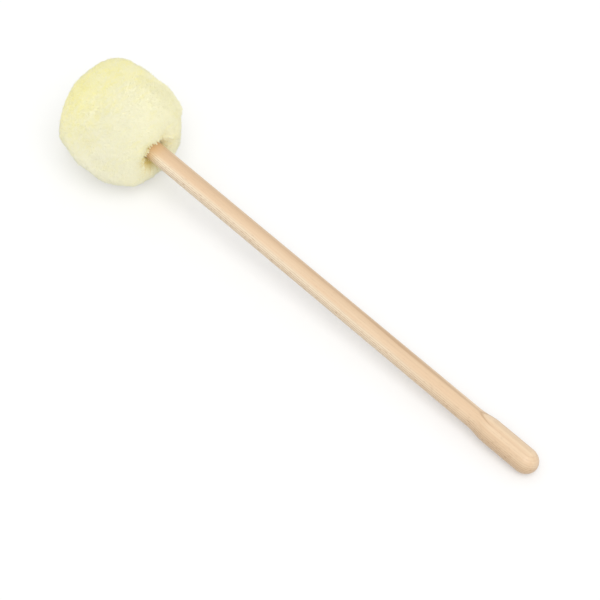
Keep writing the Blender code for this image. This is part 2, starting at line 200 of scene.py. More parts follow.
class NodeSheet:
    """One material's node tree, with short ways to add nodes and join them."""

    def __init__(self, name: str) -> None:
        """Start a material with its Principled shader.

        Args:
            name: The material's name.
        """
        self.material = bpy.data.materials.new(name)
        self.material.use_nodes = True
        self.tree = self.material.node_tree
        self.shader = self.tree.nodes["Principled BSDF"]

    def add(self, kind: str, **settings: object) -> bpy.types.Node:
        """Add a node and set its properties.

        Args:
            kind: The node's type.
            **settings: Its properties and their values.

        Returns:
            The node.
        """
        node = self.tree.nodes.new(kind)
        for key, value in settings.items():
            setattr(node, key, value)
        return node

    def feed(self, target: bpy.types.NodeSocket, source: object) -> None:
        """Give an input a link or a fixed value.

        Args:
            target: The input.
            source: An output to link it to, or the value.
        """
        if isinstance(source, bpy.types.NodeSocket):
            self.tree.links.new(source, target)
        else:
            target.default_value = source

    def constants(self, **values: object) -> None:
        """Set inputs of the shader to values that are the same all over the surface."""
        for key, value in values.items():
            self.shader.inputs[key.replace("_", " ")].default_value = value

    def place(self) -> bpy.types.NodeSocket:
        """The surface's place in its object's own frame."""
        return self.add("ShaderNodeTexCoord").outputs["Object"]

    def parts(self, vector: bpy.types.NodeSocket) -> bpy.types.NodeOutputs:
        """The x, y and z of a vector.

        Args:
            vector: The vector.

        Returns:
            Its three parts, in order.
        """
        node = self.add("ShaderNodeSeparateXYZ")
        self.feed(node.inputs[0], vector)
        return node.outputs

    def length(self, vector: bpy.types.NodeSocket) -> bpy.types.NodeSocket:
        """The length of a vector.

        Args:
            vector: The vector.

        Returns:
            Its length.
        """
        node = self.add("ShaderNodeVectorMath", operation="LENGTH")
        self.feed(node.inputs[0], vector)
        return node.outputs["Value"]

    def turned(
        self,
        vector: bpy.types.NodeSocket,
        scale: Sequence[float] = (1.0, 1.0, 1.0),
        turn: float = 0.0,
        shift: Sequence[float] = (0.0, 0.0, 0.0),
    ) -> bpy.types.NodeSocket:
        """A place scaled, then turned about local Z, then shifted.

        Args:
            vector: The place.
            scale: Factor along each local axis.
            turn: Angle about local Z.
            shift: What is added last.

        Returns:
            The new place.
        """
        node = self.add("ShaderNodeMapping")
        self.feed(node.inputs["Vector"], vector)
        node.inputs["Scale"].default_value = scale
        node.inputs["Rotation"].default_value = (0.0, 0.0, turn)
        node.inputs["Location"].default_value = shift
        return node.outputs[0]

    def noise(
        self, vector: bpy.types.NodeSocket, scale: float, detail: float = 2.0
    ) -> bpy.types.NodeSocket:
        """Smooth noise.

        Args:
            vector: The place.
            scale: Its scale, per metre.
            detail: How many finer octaves it has.

        Returns:
            The noise, from 0 to 1.
        """
        node = self.add("ShaderNodeTexNoise")
        self.feed(node.inputs["Vector"], vector)
        node.inputs["Scale"].default_value = scale
        node.inputs["Detail"].default_value = detail
        return node.outputs[0]

    def grain(
        self, vector: bpy.types.NodeSocket, across: float, along: float, detail: float
    ) -> bpy.types.NodeSocket:
        """Smooth noise drawn out along local Z.

        Args:
            vector: The place.
            across: Its scale across local Z, per metre.
            along: Its scale along local Z, per metre.
            detail: How many finer octaves it has.

        Returns:
            The noise, from 0 to 1.
        """
        return self.noise(self.turned(vector, scale=(across, across, along)), 1.0, detail)

    def math(self, operation: str, a: object, b: object = 0.0) -> bpy.types.NodeSocket:
        """One arithmetic step.

        Args:
            operation: What is done.
            a: The first value or socket.
            b: The second, where the step has one.

        Returns:
            The result.
        """
        node = self.add("ShaderNodeMath", operation=operation)
        self.feed(node.inputs[0], a)
        self.feed(node.inputs[1], b)
        return node.outputs[0]

    def span(
        self, value: object, low: float, high: float, start: float = 0.0, end: float = 1.0
    ) -> bpy.types.NodeSocket:
        """A value brought from the range low to high to the range start to end, and held in it.

        Args:
            value: What is brought over.
            low: Where the old range begins.
            high: Where it ends.
            start: What low becomes.
            end: What high becomes.

        Returns:
            The new value.
        """
        node = self.add("ShaderNodeMapRange")
        keys = ("Value", "From Min", "From Max", "To Min", "To Max")
        for key, source in zip(keys, (value, low, high, start, end)):
            self.feed(node.inputs[key], source)
        return node.outputs[0]

    def ramp(self, value: object, stops: Sequence[tuple[float, float]]) -> bpy.types.NodeSocket:
        """A grey curve through (place, brightness) stops.

        Args:
            value: What the curve reads, from 0 to 1.
            stops: Its stops, in order.

        Returns:
            The curve's value.
        """
        node = self.add("ShaderNodeValToRGB")
        self.feed(node.inputs[0], value)
        band = node.color_ramp
        while len(band.elements) < len(stops):
            band.elements.new(1.0)
        for element, (position, level) in zip(band.elements, stops):
            element.position = position
            element.color = (level, level, level, 1.0)
        return node.outputs[0]

    def mix(self, share: object, first: object, second: object) -> bpy.types.NodeSocket:
        """Two colours mixed by a share.

        Args:
            share: How much of the second.
            first: A colour or a socket.
            second: A colour or a socket.

        Returns:
            The mixed colour.
        """
        node = self.add("ShaderNodeMix", data_type="RGBA")
        self.feed(node.inputs["Factor"], share)
        for socket, source in ((node.inputs[6], first), (node.inputs[7], second)):
            self.feed(socket, (*source, 1.0) if isinstance(source, tuple) else source)
        return node.outputs[2]

    def bump(self, height: bpy.types.NodeSocket, depth: float, strength: float = 1.0) -> None:
        """Raise the surface by a height.

        Args:
            height: The height, from 0 to 1.
            depth: How far apart 0 and 1 are, in metres.
            strength: How strongly it shows.
        """
        node = self.add("ShaderNodeBump")
        node.inputs["Strength"].default_value = strength
        node.inputs["Distance"].default_value = depth
        self.feed(node.inputs["Height"], height)
        self.feed(self.shader.inputs["Normal"], node.outputs[0])


@dataclass(frozen=True)
class WoodFinish:
    """Straight-grained pale wood under a satin lacquer.

    The growth rings are planes across local X turned about local Z. One of them lies just
    outside the grip, so the thicker knob cuts it in a pointed figure.

    Attributes:
        name: The material's name.
        pale: Early wood.
        tan: Broad warmer bands.
        heart_and_shade: Warmer wood on the side of the older rings, with painted shade on that
            side.
        sap_and_light: Paler wood on the other side, with painted light on that side.
        bright: The lightest colour, painted light on that side beside the head.
        late: The line that ends each ring.
        fleck: Short rays and pores.
        painted_shade: Painted shade beside the fleece, tinted by the light it throws back.
        ring_turn: Angle about local Z of the planes' normal.
        ring_plane: Distance from the axis to the ring that the knob cuts.
        ring_spacing: Distance between rings.
        ring_line: Strength of the late wood across one ring, as (place, strength).
        wander: How far the rings wander, slowly, along the handle.
        waver: How far they waver in fine detail.
        older_depth: Distances from the axis between which the rings grow strong.
        heart_and_shade_depth: Distances between which the warmer side and its painted shade set in.
        sap_and_light_depth: Distances between which the paler side and its painted light set in.
        knob_shade_depth: Distances between which painted shade, in the warmer wood's colour, grows
            on the knob's lower side.
        figure_width: Distances from the ring that the knob cuts at which its line starts
            and is full.
        figure_z: Local z between which that line fades towards the knob's end.
        sides_z: Local z between which the two sides, with their painted shade and light, part from
            each other in colour.
        painted_light_z: Local z between which that painted light sets in towards the head.
        knob_shade_z: Local z between which the painted shade on the knob's lower side sets in.
        painted_shade_z: Local z at which the painted shade is gone, and at which it is full.
        roughness: Middle roughness.
        coat: Weight of the lacquer.
        coat_roughness: Roughness of the lacquer.
    """

    name: str
    pale: Colour = (0.845, 0.655, 0.450)
    tan: Colour = (0.760, 0.535, 0.335)
    heart_and_shade: Colour = (0.680, 0.480, 0.300)
    sap_and_light: Colour = (0.935, 0.803, 0.612)
    bright: Colour = (0.990, 0.885, 0.700)
    late: Colour = (0.540, 0.345, 0.180)
    fleck: Colour = (0.480, 0.290, 0.150)
    painted_shade: Colour = (0.700, 0.430, 0.190)
    ring_turn: float = math.radians(24.5)
    ring_plane: float = 0.00604
    ring_spacing: float = 0.00120
    ring_line: tuple[tuple[float, float], ...] = (
        (0.0, 1.0), (0.06, 0.8), (0.20, 0.25), (0.5, 0.05), (0.76, 0.15), (0.90, 1.0),
    )
    wander: float = 0.0009
    waver: float = 0.00022
    older_depth: Span = (0.0035, -0.0005)
    heart_and_shade_depth: Span = (0.0034, 0.0056)
    sap_and_light_depth: Span = (0.0033, 0.0014)
    knob_shade_depth: Span = (0.0042, 0.0002)
    figure_width: Span = (0.00026, 0.00004)
    figure_z: Span = (-0.2860, -0.2770)
    sides_z: Span = (-0.262, -0.205)
    painted_light_z: Span = (-0.090, -0.035)
    knob_shade_z: Span = (-0.266, -0.280)
    painted_shade_z: Span = (-0.0340, -0.0260)
    roughness: float = 0.42
    coat: float = 0.12
    coat_roughness: float = 0.28

    def ring_depth(
        self, sheet: NodeSheet, place: bpy.types.NodeSocket, from_axis: bpy.types.NodeSocket
    ) -> bpy.types.NodeSocket:
        """Distance from the axis across the rings, with their slow and fine wandering.

        Args:
            sheet: The node tree.
            place: The place.
            from_axis: The plain distance.

        Returns:
            The distance.
        """
        slow = sheet.grain(place, 60.0, 9.0, 1.0)
        fine = sheet.grain(place, 420.0, 26.0, 2.0)
        wander = sheet.math("MULTIPLY", sheet.math("SUBTRACT", slow, 0.5), self.wander)
        waver = sheet.math("MULTIPLY", sheet.math("SUBTRACT", fine, 0.5), self.waver)
        return sheet.math("ADD", from_axis, sheet.math("ADD", wander, waver))

    def late_wood(
        self, sheet: NodeSheet, depth: bpy.types.NodeSocket, older: bpy.types.NodeSocket
    ) -> bpy.types.NodeSocket:
        """The dark lines that end the rings, each ring's with a strength of its own.

        Args:
            sheet: The node tree.
            depth: Distance from the axis across the rings.
            older: How strong the rings are there.

        Returns:
            How much of the late wood shows.
        """
        from_ring = sheet.math("SUBTRACT", depth, self.ring_plane)
        turns = sheet.math("DIVIDE", from_ring, self.ring_spacing)
        phase = sheet.math("FRACT", turns)
        ring = sheet.add("ShaderNodeTexWhiteNoise", noise_dimensions="1D")
        sheet.feed(ring.inputs["W"], sheet.math("FLOOR", turns))
        strength = sheet.span(ring.outputs[0], 0.0, 1.0, 0.55, 1.0)
        strength = sheet.math("MULTIPLY", strength, older)
        return sheet.math("MULTIPLY", sheet.ramp(phase, self.ring_line), strength)

    def material(self) -> bpy.types.Material:
        """Make the material.

        Returns:
            The material.
        """
        sheet = NodeSheet(self.name)
        place = sheet.place()
        height = sheet.parts(place)[2]
        from_axis = sheet.parts(sheet.turned(place, turn=-self.ring_turn))[0]
        depth = self.ring_depth(sheet, place, from_axis)
        older = sheet.span(from_axis, *self.older_depth, 0.25, 1.0)
        late = self.late_wood(sheet, depth, older)
        apart = sheet.math("ABSOLUTE", sheet.math("SUBTRACT", depth, self.ring_plane))
        figure = sheet.math(
            "MULTIPLY",
            sheet.span(apart, *self.figure_width, 0.0, 0.60),
            sheet.span(height, *self.figure_z, 0.08, 1.0),
        )

        bands = sheet.grain(place, 240.0, 7.0, 2.0)
        streaks = sheet.grain(place, 1700.0, 42.0, 3.0)
        dashes = sheet.grain(place, 1800.0, 330.0, 1.0)
        colour = sheet.mix(sheet.span(bands, 0.40, 0.68), self.pale, self.tan)
        # The sides part in colour: warmer wood with painted shade on one, paler wood with painted
        # light on the other.
        sides = sheet.span(height, *self.sides_z, 0.10, 1.0)
        warm_and_shaded = sheet.math("MULTIPLY", sheet.span(depth, *self.heart_and_shade_depth), sides)
        warm_and_shaded = sheet.math("MULTIPLY", warm_and_shaded, sheet.span(bands, 0.30, 0.60, 0.70, 1.0))
        colour = sheet.mix(warm_and_shaded, colour, self.heart_and_shade)
        light = sheet.math("MULTIPLY", sheet.span(depth, *self.sap_and_light_depth, 0.0, 0.9), sides)
        colour = sheet.mix(light, colour, self.sap_and_light)
        # Painted light on the paler side beside the head.
        at_head = sheet.span(height, *self.painted_light_z, 0.0, 0.6)
        painted_light = sheet.math("MULTIPLY", sheet.span(depth, *self.sap_and_light_depth), at_head)
        colour = sheet.mix(painted_light, colour, self.bright)
        # Painted shade on the knob's lower side, in the warmer wood's colour.
        in_knob = sheet.span(height, *self.knob_shade_z)
        lower = sheet.span(depth, *self.knob_shade_depth, 0.0, 0.65)
        colour = sheet.mix(sheet.math("MULTIPLY", lower, in_knob), colour, self.heart_and_shade)
        colour = sheet.mix(late, colour, self.late)
        colour = sheet.mix(figure, colour, self.fleck)
        colour = sheet.mix(sheet.span(streaks, 0.45, 0.75, 0.0, 0.40), colour, self.tan)
        pores = sheet.math("MULTIPLY", sheet.span(dashes, 0.59, 0.72, 0.0, 0.65), older)
        colour = sheet.mix(pores, colour, self.fleck)
        # Painted shade beside the fleece, tinted by the light it throws back.
        near = sheet.span(height, *self.painted_shade_z, 0.0, 0.75)
        colour = sheet.mix(near, colour, self.painted_shade)
        sheet.feed(sheet.shader.inputs["Base Color"], colour)
        rough = sheet.span(streaks, 0.2, 0.8, self.roughness - 0.06, self.roughness + 0.08)
        sheet.feed(sheet.shader.inputs["Roughness"], rough)
        sheet.constants(Coat_Weight=self.coat, Coat_Roughness=self.coat_roughness)
        sheet.bump(streaks, 0.00002, 0.6)
        return sheet.material


@dataclass(frozen=True)
class FleeceFinish:
    """Pale lemon fleece, deeper in colour towards its roots, with painted shade there and in the
    gaps at the neck.

    Attributes:
        name: The material's name.
        cream: The palest tips.
        lemon: The yellower tips.
        milk: The whitest fleece, on the side of the parting.
        root: The colour down in the pile, also laid on as painted shade in the hollow and the gaps
            at the neck.
        tip: The faded ends of the fibres.
        root_radius: Distance from the head's centre at which the root colour is full.
        tip_radius: Distance at which the tip colour is full.
        parting: Direction in the axis frame of the side where the roots show.
        crown_z: Local z between which the fleece grows yellower towards the crown.
        milk_side: How far towards that side the whitest fleece sets in and is full.
        root_shade_side: How far towards it the root colour and painted shade between the fibres set
            in and are full.
        gap_side: How far towards it the gaps round the neck, with their painted shade, set in and
            are full.
        gap_radius: Distances from the axis between which those gaps grow towards the neck.
        gap_z: Local z between which they set in.
    """

    name: str
    cream: Colour = (0.990, 0.955, 0.670)
    lemon: Colour = (0.990, 0.930, 0.420)
    milk: Colour = (0.990, 0.970, 0.900)
    root: Colour = (0.800, 0.670, 0.240)
    tip: Colour = (0.962, 0.946, 0.755)
    root_radius: float = 0.0285
    tip_radius: float = 0.0330
    parting: tuple[float, float, float] = (-0.441, -0.897, 0.0)
    crown_z: Span = (-0.012, 0.030)
    milk_side: Span = (0.008, 0.034)
    root_shade_side: Span = (0.0020, 0.0062)
    gap_side: Span = (-0.0060, -0.0015)
    gap_radius: Span = (0.0190, 0.0105)
    gap_z: Span = (-0.018, -0.022)

    def material(self) -> bpy.types.Material:
        """Make the material.

        Returns:
            The material.
        """
        sheet = NodeSheet(self.name)
        place = sheet.place()
        parts = sheet.parts(place)
        crown = sheet.span(parts[2], *self.crown_z, -0.05, 1.00)
        patches = sheet.noise(place, 75.0, 1.0)
        tufts = sheet.noise(sheet.turned(place, scale=(1.0, 0.28, 1.0)), 420.0, 2.0)
        fibres = sheet.noise(place, 2600.0, 1.0)
        share = sheet.math("ADD", crown, sheet.span(patches, 0.3, 0.7, -0.12, 0.14))
        share = sheet.math("ADD", share, sheet.span(tufts, 0.3, 0.7, -0.34, 0.40))
        share = sheet.math("ADD", share, sheet.span(fibres, 0.3, 0.7, -0.10, 0.10))
        held = sheet.span(share, 0.0, 1.0)
        colour = sheet.mix(held, self.cream, self.lemon)
        side = sheet.add("ShaderNodeVectorMath", operation="DOT_PRODUCT")
        sheet.feed(side.inputs[0], place)
        side.inputs[1].default_value = self.parting
        whiter = sheet.span(side.outputs["Value"], *self.milk_side, 0.0, 0.40)
        colour = sheet.mix(whiter, colour, self.milk)
        # Root colour with painted shade, down in the pile and most on the open side.
        root_and_shade = sheet.span(sheet.length(place), self.root_radius, self.tip_radius, 1.0, 0.0)
        open_side = sheet.span(side.outputs["Value"], *self.root_shade_side, 0.12, 1.0)
        root_and_shade = sheet.math("MULTIPLY", sheet.math("POWER", root_and_shade, 1.3), open_side)
        colour = sheet.mix(root_and_shade, colour, self.root)
        # Painted shade in the gaps round the neck on the open side, in the root colour.
        gaps = self.parting_shade(sheet, parts, side.outputs["Value"])
        colour = sheet.mix(gaps, colour, self.root)
        along = sheet.add("ShaderNodeAttribute", attribute_name=ALONG)
        faded = sheet.span(along.outputs["Fac"], 0.50, 1.0, 0.0, 0.70)
        colour = sheet.mix(faded, colour, self.tip)
        sheet.feed(sheet.shader.inputs["Base Color"], colour)
        sheet.constants(Roughness=0.85, Specular_IOR_Level=0.15)
        return sheet.material

    def parting_shade(
        self, sheet: NodeSheet, parts: bpy.types.NodeOutputs, side: bpy.types.NodeSocket
    ) -> bpy.types.NodeSocket:
        """Where the pile parts into locks round the neck, with the root colour as painted shade in
        the gaps.

        Args:
            sheet: The node tree.
            parts: The place's three parts.
            side: How far the place lies towards the open side.

        Returns:
            How much of the root colour, as painted shade, shows.
        """
        x, y, z = parts
        turn = sheet.math("ARCTAN2", y, x)
        round_neck = sheet.add("ShaderNodeCombineXYZ")
        sheet.feed(round_neck.inputs[0], sheet.math("MULTIPLY", turn, 20.0))
        sheet.feed(round_neck.inputs[2], sheet.math("MULTIPLY", z, 90.0))
        gaps = sheet.span(sheet.noise(round_neck.outputs[0], 1.0, 0.0), 0.40, 0.66)
        flat = sheet.add("ShaderNodeCombineXYZ")
        sheet.feed(flat.inputs[0], x)
        sheet.feed(flat.inputs[1], y)
        near = sheet.span(sheet.length(flat.outputs[0]), *self.gap_radius, 0.0, 0.75)
        below = sheet.span(z, *self.gap_z)
        open_below = sheet.math("MULTIPLY", below, sheet.span(side, *self.gap_side))
        return sheet.math("MULTIPLY", gaps, sheet.math("MULTIPLY", near, open_below))


@dataclass(frozen=True)
class FeltedFinish:
    """Matted fibre, as hard felt or loose wadding.

    Attributes:
        name: The material's name.
        light: Its lighter fibres.
        dark: Painted shade in its hollows, where the clumps dip.
        clump: Clumps per metre.
        depth: Depth of its surface.
    """

    name: str
    light: Colour
    dark: Colour
    clump: float
    depth: float

    def material(self) -> bpy.types.Material:
        """Make the material.

        Returns:
            The material.
        """
        sheet = NodeSheet(self.name)
        place = sheet.place()
        clumps = sheet.noise(place, self.clump, 4.0)
        hairs = sheet.noise(sheet.turned(place, scale=(1.0, 0.25, 1.0)), self.clump * 9.0, 2.0)
        # Painted shade: darker where the clumps dip into hollows.
        colour = sheet.mix(sheet.span(clumps, 0.3, 0.7), self.dark, self.light)
        colour = sheet.mix(sheet.span(hairs, 0.5, 0.8, 0.0, 0.4), colour, self.light)
        sheet.feed(sheet.shader.inputs["Base Color"], colour)
        sheet.constants(Roughness=0.95, Sheen_Weight=0.3)
        sheet.bump(sheet.math("ADD", clumps, hairs), self.depth)
        return sheet.material


@dataclass(frozen=True)
class KnitFinish:
    """Fine knitted cloth or twisted thread, drawn by two crossing sets of ribs.

    Attributes:
        name: The material's name.
        face: Colour of the yarn.
        gap: Colour between the yarns, painted shade where the ribs dip.
        pitch: Distance between ribs.
        depth: Depth between ribs.
    """

    name: str
    face: Colour
    gap: Colour
    pitch: float
    depth: float

    def ribs(
        self, sheet: NodeSheet, place: bpy.types.NodeSocket, axis: str
    ) -> bpy.types.NodeSocket:
        """One set of ribs.

        Args:
            sheet: The node tree.
            place: The place.
            axis: The axis along which they follow one another.

        Returns:
            The ribs' height, from 0 to 1.
        """
        node = sheet.add("ShaderNodeTexWave", wave_type="BANDS", bands_direction=axis)
        sheet.feed(node.inputs["Vector"], place)
        node.inputs["Scale"].default_value = METRE_WAVE_SCALE / self.pitch
        node.inputs["Distortion"].default_value = 1.2
        return node.outputs["Fac"]

    def material(self) -> bpy.types.Material:
        """Make the material.

        Returns:
            The material.
        """
        sheet = NodeSheet(self.name)
        place = sheet.place()
        weave = sheet.math("MULTIPLY", self.ribs(sheet, place, "X"), self.ribs(sheet, place, "Z"))
        # Painted shade between the yarns, where the ribs dip.
        colour = sheet.mix(sheet.span(weave, 0.0, 0.7), self.gap, self.face)
        sheet.feed(sheet.shader.inputs["Base Color"], colour)
        sheet.constants(Roughness=0.85, Sheen_Weight=0.2)
        sheet.bump(weave, self.depth)
        return sheet.material


@dataclass(frozen=True)
class SteelFinish:
    """Zinc-plated steel with faint spangle and fine scratches.

    Attributes:
        name: The material's name.
        bright: Clean plating.
        dull: Duller plating.
    """

    name: str
    bright: Colour = (0.70, 0.69, 0.66)
    dull: Colour = (0.52, 0.51, 0.48)

    def material(self) -> bpy.types.Material:
        """Make the material.

        Returns:
            The material.
        """
        sheet = NodeSheet(self.name)
        place = sheet.place()
        spangle = sheet.noise(place, 900.0, 3.0)
        scratches = sheet.noise(sheet.turned(place, scale=(1.0, 8.0, 1.0)), 2500.0, 2.0)
        colour = sheet.mix(sheet.span(spangle, 0.35, 0.65), self.bright, self.dull)
        sheet.feed(sheet.shader.inputs["Base Color"], colour)
        sheet.feed(sheet.shader.inputs["Roughness"], sheet.span(scratches, 0.3, 0.7, 0.24, 0.42))
        sheet.constants(Metallic=1.0)
        sheet.bump(scratches, 0.00001, 0.4)
        return sheet.material


def mesh_from_arrays(name: str, points: np.ndarray, faces: Sequence[np.ndarray]) -> bpy.types.Mesh:
    """Make a mesh from arrays.

    Args:
        name: The mesh's name.
        points: Its vertices.
        faces: Arrays of faces, each of one number of corners.

    Returns:
        The mesh, smooth-shaded.
    """
    mesh = bpy.data.meshes.new(name)
    corners = np.concatenate([part.ravel() for part in faces]).astype(np.int32)
    counts = np.concatenate([np.full(len(part), part.shape[1]) for part in faces])
    starts = np.concatenate(([0], np.cumsum(counts)[:-1])).astype(np.int32)
    mesh.vertices.add(len(points))
    mesh.vertices.foreach_set("co", points.astype(np.float32).ravel())
    mesh.loops.add(len(corners))
    mesh.loops.foreach_set("vertex_index", corners)
    mesh.polygons.add(len(counts))
    mesh.polygons.foreach_set("loop_start", starts)
    mesh.update(calc_edges=True)
    return mesh


def turned_points(profile: Profile, steps: int) -> np.ndarray:
    """Rings of points where a profile is turned about local Z.

    Args:
        profile: Points as (radius, z).
        steps: How many points each ring has.

    Returns:
        An array of shape (points in the profile, steps, 3).
    """
    outline = np.array(profile)
    turn = np.arange(steps) * FULL_TURN / steps
    x = outline[:, :1] * np.cos(turn)
    y = outline[:, :1] * np.sin(turn)
    z = np.repeat(outline[:, 1:], steps, axis=1)
    return np.stack((x, y, z), axis=2)


def ring_faces(rings: int, steps: int, closed: bool) -> np.ndarray:
    """Quads between neighbouring rings of a turned mesh.

    Args:
        rings: How many rings there are.
        steps: How many points each ring has.
        closed: Whether the last ring meets the first.

    Returns:
        The quads as rows of four vertex numbers, facing outwards for a profile that runs
        from the crown to the knob.
    """
    rows = np.arange(rings if closed else rings - 1)
    columns = np.arange(steps)
    row, column = np.meshgrid(rows, columns, indexing="ij")
    below = (row + 1) % rings
    beside = (column + 1) % steps
    quads = np.stack((row * steps + column, below * steps + column,
                      below * steps + beside, row * steps + beside), axis=2)
    return quads.reshape(-1, 4)


def turned_mesh(
    name: str, rings: np.ndarray, start: Optional[float], end: Optional[float]
) -> bpy.types.Mesh:
    """Make a closed turned mesh from its rings.

    Args:
        name: The mesh's name.
        rings: Rings of points, from the crown's side to the knob's.
        start: Local z of a point on the axis before the first ring, or None.
        end: Local z of a point on the axis after the last ring, or None. With neither, the
            last ring meets the first.

    Returns:
        The mesh.
    """
    count, steps = rings.shape[:2]
    points = [rings.reshape(-1, 3)]
    closed = start is None and end is None
    faces = [ring_faces(count, steps, closed)]
    here = np.arange(steps)
    beside = (here + 1) % steps
    tip = count * steps
    if start is not None:
        points.append(np.array([[0.0, 0.0, start]]))
        faces.append(np.stack((np.full(steps, tip), here, beside), axis=1))
        tip += 1
    if end is not None:
        points.append(np.array([[0.0, 0.0, end]]))
        last = (count - 1) * steps
        faces.append(np.stack((np.full(steps, tip), last + beside, last + here), axis=1))
    return mesh_from_arrays(name, np.concatenate(points), faces)


@dataclass(frozen=True)
class Bench:
    """Puts finished meshes into the scene, in the axis frame.

    Attributes:
        axis: The mallet's axis.
    """

    axis: MalletAxis

    def lay(
        self, mesh: bpy.types.Mesh, material: bpy.types.Material, node: str
    ) -> bpy.types.Object:
        """Add a piece that stands for a CAD node.

        Args:
            mesh: The piece's mesh, in the axis frame.
            material: Its finish.
            node: The CAD node it stands for.

        Returns:
            The piece.
        """
        piece = bpy.data.objects.new(mesh.name, mesh)
        bpy.context.scene.collection.objects.link(piece)
        mesh.materials.append(material)
        piece.matrix_world = self.axis.matrix()
        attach(piece, BODY)
        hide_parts(node)
        LOG.info("%s: %d faces, stands for %s", piece.name, len(mesh.polygons), node)
        return piece

    def dress(self, node: str, material: bpy.types.Material) -> None:
        """Give a CAD node that keeps its shape its finish.

        Args:
            node: The node's name.
            material: Its finish.
        """
        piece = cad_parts[node]
        piece.data.materials.clear()
        piece.data.materials.append(material)
        LOG.info("%s: carried over", node)


@dataclass
class Handle:
    """The one-piece turned handle: tenon, slim shaft, flare and domed knob.

    Attributes:
        neck_radius: Radius beside the head.
        grip_radius: Radius where the flare begins.
        knob_radius: Radius of the knob.
        flare_start: Distance from the head's centre to the flare.
        flare_length: Length of the flare.
        knob_length: Length of the knob's straight part.
        dome_length: Length of its rounded end.
        tenon_radius: Radius of the tenon inside the core.
        tenon_chamfer: Chamfer at its end.
        shoulder_chamfer: Chamfer of the shoulder's edge.
        tenon_top: Local z of the tenon's end, worked out from the core.
        shoulder: Local z of the shoulder under the core, worked out from the core.
        hole_radius: Radius of the pilot hole for the screw.
        hole_end: Local z of the hole's end, worked out from the core.
        steps: Points round each ring.
        shaft_rings: Rings along the slim shaft, with the shoulder's.
        flare_rings: Rings along the flare, with the shaft's last.
        knob_rings: Rings along the knob, with the flare's last.
        dome_rings: Rings along the rounded end, with the knob's last and the tip.
    """

    neck_radius: float = 0.00575
    grip_radius: float = 0.0060
    knob_radius: float = 0.00725
    flare_start: float = 0.2710
    flare_length: float = 0.0125
    knob_length: float = 0.0240
    dome_length: float = 0.0080
    tenon_radius: float = 0.0045
    tenon_chamfer: float = 0.0006
    shoulder_chamfer: float = 0.0001
    tenon_top: float = 0.0
    shoulder: float = 0.0
    hole_radius: float = 0.0023
    hole_end: float = 0.0
    steps: int = 128
    shaft_rings: int = 90
    flare_rings: int = 25
    knob_rings: int = 16
    dome_rings: int = 33

    def fit_into(self, core: "HeadFilling") -> None:
        """Work out the tenon, the shoulder and the pilot hole.

        Args:
            core: The head's filling, with the core that the tenon goes into.
        """
        recess_floor = core.recess_floor
        self.tenon_top = recess_floor - core.crown_web - GAP
        seat_radius = self.neck_radius + core.core_seat_margin
        self.shoulder = -math.sqrt(core.core_radius**2 - seat_radius**2) - GAP
        screw_seat = recess_floor + GAP + core.washer_thickness + GAP
        self.hole_end = screw_seat - core.screw_length - GAP

    @property
    def reach(self) -> float:
        """Distance from the head's centre to the end of the knob."""
        return self.flare_start + self.flare_length + self.knob_length + self.dome_length

    def profile(self) -> Profile:
        """Outline from the bottom of the pilot hole round to the end of the knob.

        Returns:
            Its points as (radius, z), without the two on the axis.
        """
        edge = self.shoulder_chamfer
        start_z = self.shoulder - edge
        points = [
            (self.hole_radius, self.hole_end),
            (self.hole_radius, self.tenon_top),
            (self.tenon_radius - self.tenon_chamfer, self.tenon_top),
            (self.tenon_radius, self.tenon_top - self.tenon_chamfer),
            (self.tenon_radius, self.shoulder),
            (self.neck_radius - edge, self.shoulder),
            (self.neck_radius, start_z),
        ]
        for share in np.linspace(0.0, 1.0, self.shaft_rings)[1:]:
            z = start_z + (-self.flare_start - self.shoulder + edge) * share
            radius = self.neck_radius + (self.grip_radius - self.neck_radius) * share
            points.append((radius, z))
        for share in np.linspace(0.0, 1.0, self.flare_rings)[1:]:
            radius = self.grip_radius + (self.knob_radius - self.grip_radius) * smooth_step(share)
            points.append((radius, -self.flare_start - self.flare_length * share))
        dome_z = -self.flare_start - self.flare_length - self.knob_length
        for share in np.linspace(0.0, 1.0, self.knob_rings)[1:]:
            points.append((self.knob_radius, dome_z + self.knob_length * (1.0 - share)))
        for angle in np.linspace(0.0, QUARTER_TURN, self.dome_rings)[1:-1]:
            z = dome_z - self.dome_length * math.sin(angle)
            points.append((self.knob_radius * math.cos(angle), z))
        return points

    def build(self, bench: Bench) -> bpy.types.Object:
        """Model the handle and dress it.

        Args:
            bench: Where it is laid.

        Returns:
            The handle.
        """
        rings = turned_points(self.profile(), self.steps)
        mesh = turned_mesh("handle", rings, self.hole_end - self.hole_radius / 2, -self.reach)
        return bench.lay(mesh, WoodFinish("pale_wood").material(), "shaft")


@dataclass(frozen=True)
class Lump:
    """A gentle rise or hollow in the outside of the fleece.

    Attributes:
        bearing: Where it is round the outline that the camera sees, in degrees clockwise
            from the picture's right.
        towards: How far it is turned towards the camera from that outline, in degrees.
        height: How far it stands out, in metres, or in if negative.
        spread: How wide it is, in degrees.
    """

    bearing: float
    towards: float
    height: float
    spread: float

    def direction(self, right: Vector, up: Vector, back: Vector) -> Vector:
        """Its direction from the head's centre.

        Args:
            right: The picture's right.
            up: The picture's up.
            back: The way back to the camera.

        Returns:
            The direction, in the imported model's frame.
        """
        bearing = math.radians(self.bearing)
        towards = math.radians(self.towards)
        outline = right * math.cos(bearing) - up * math.sin(bearing)
        return outline * math.cos(towards) + back * math.sin(towards)


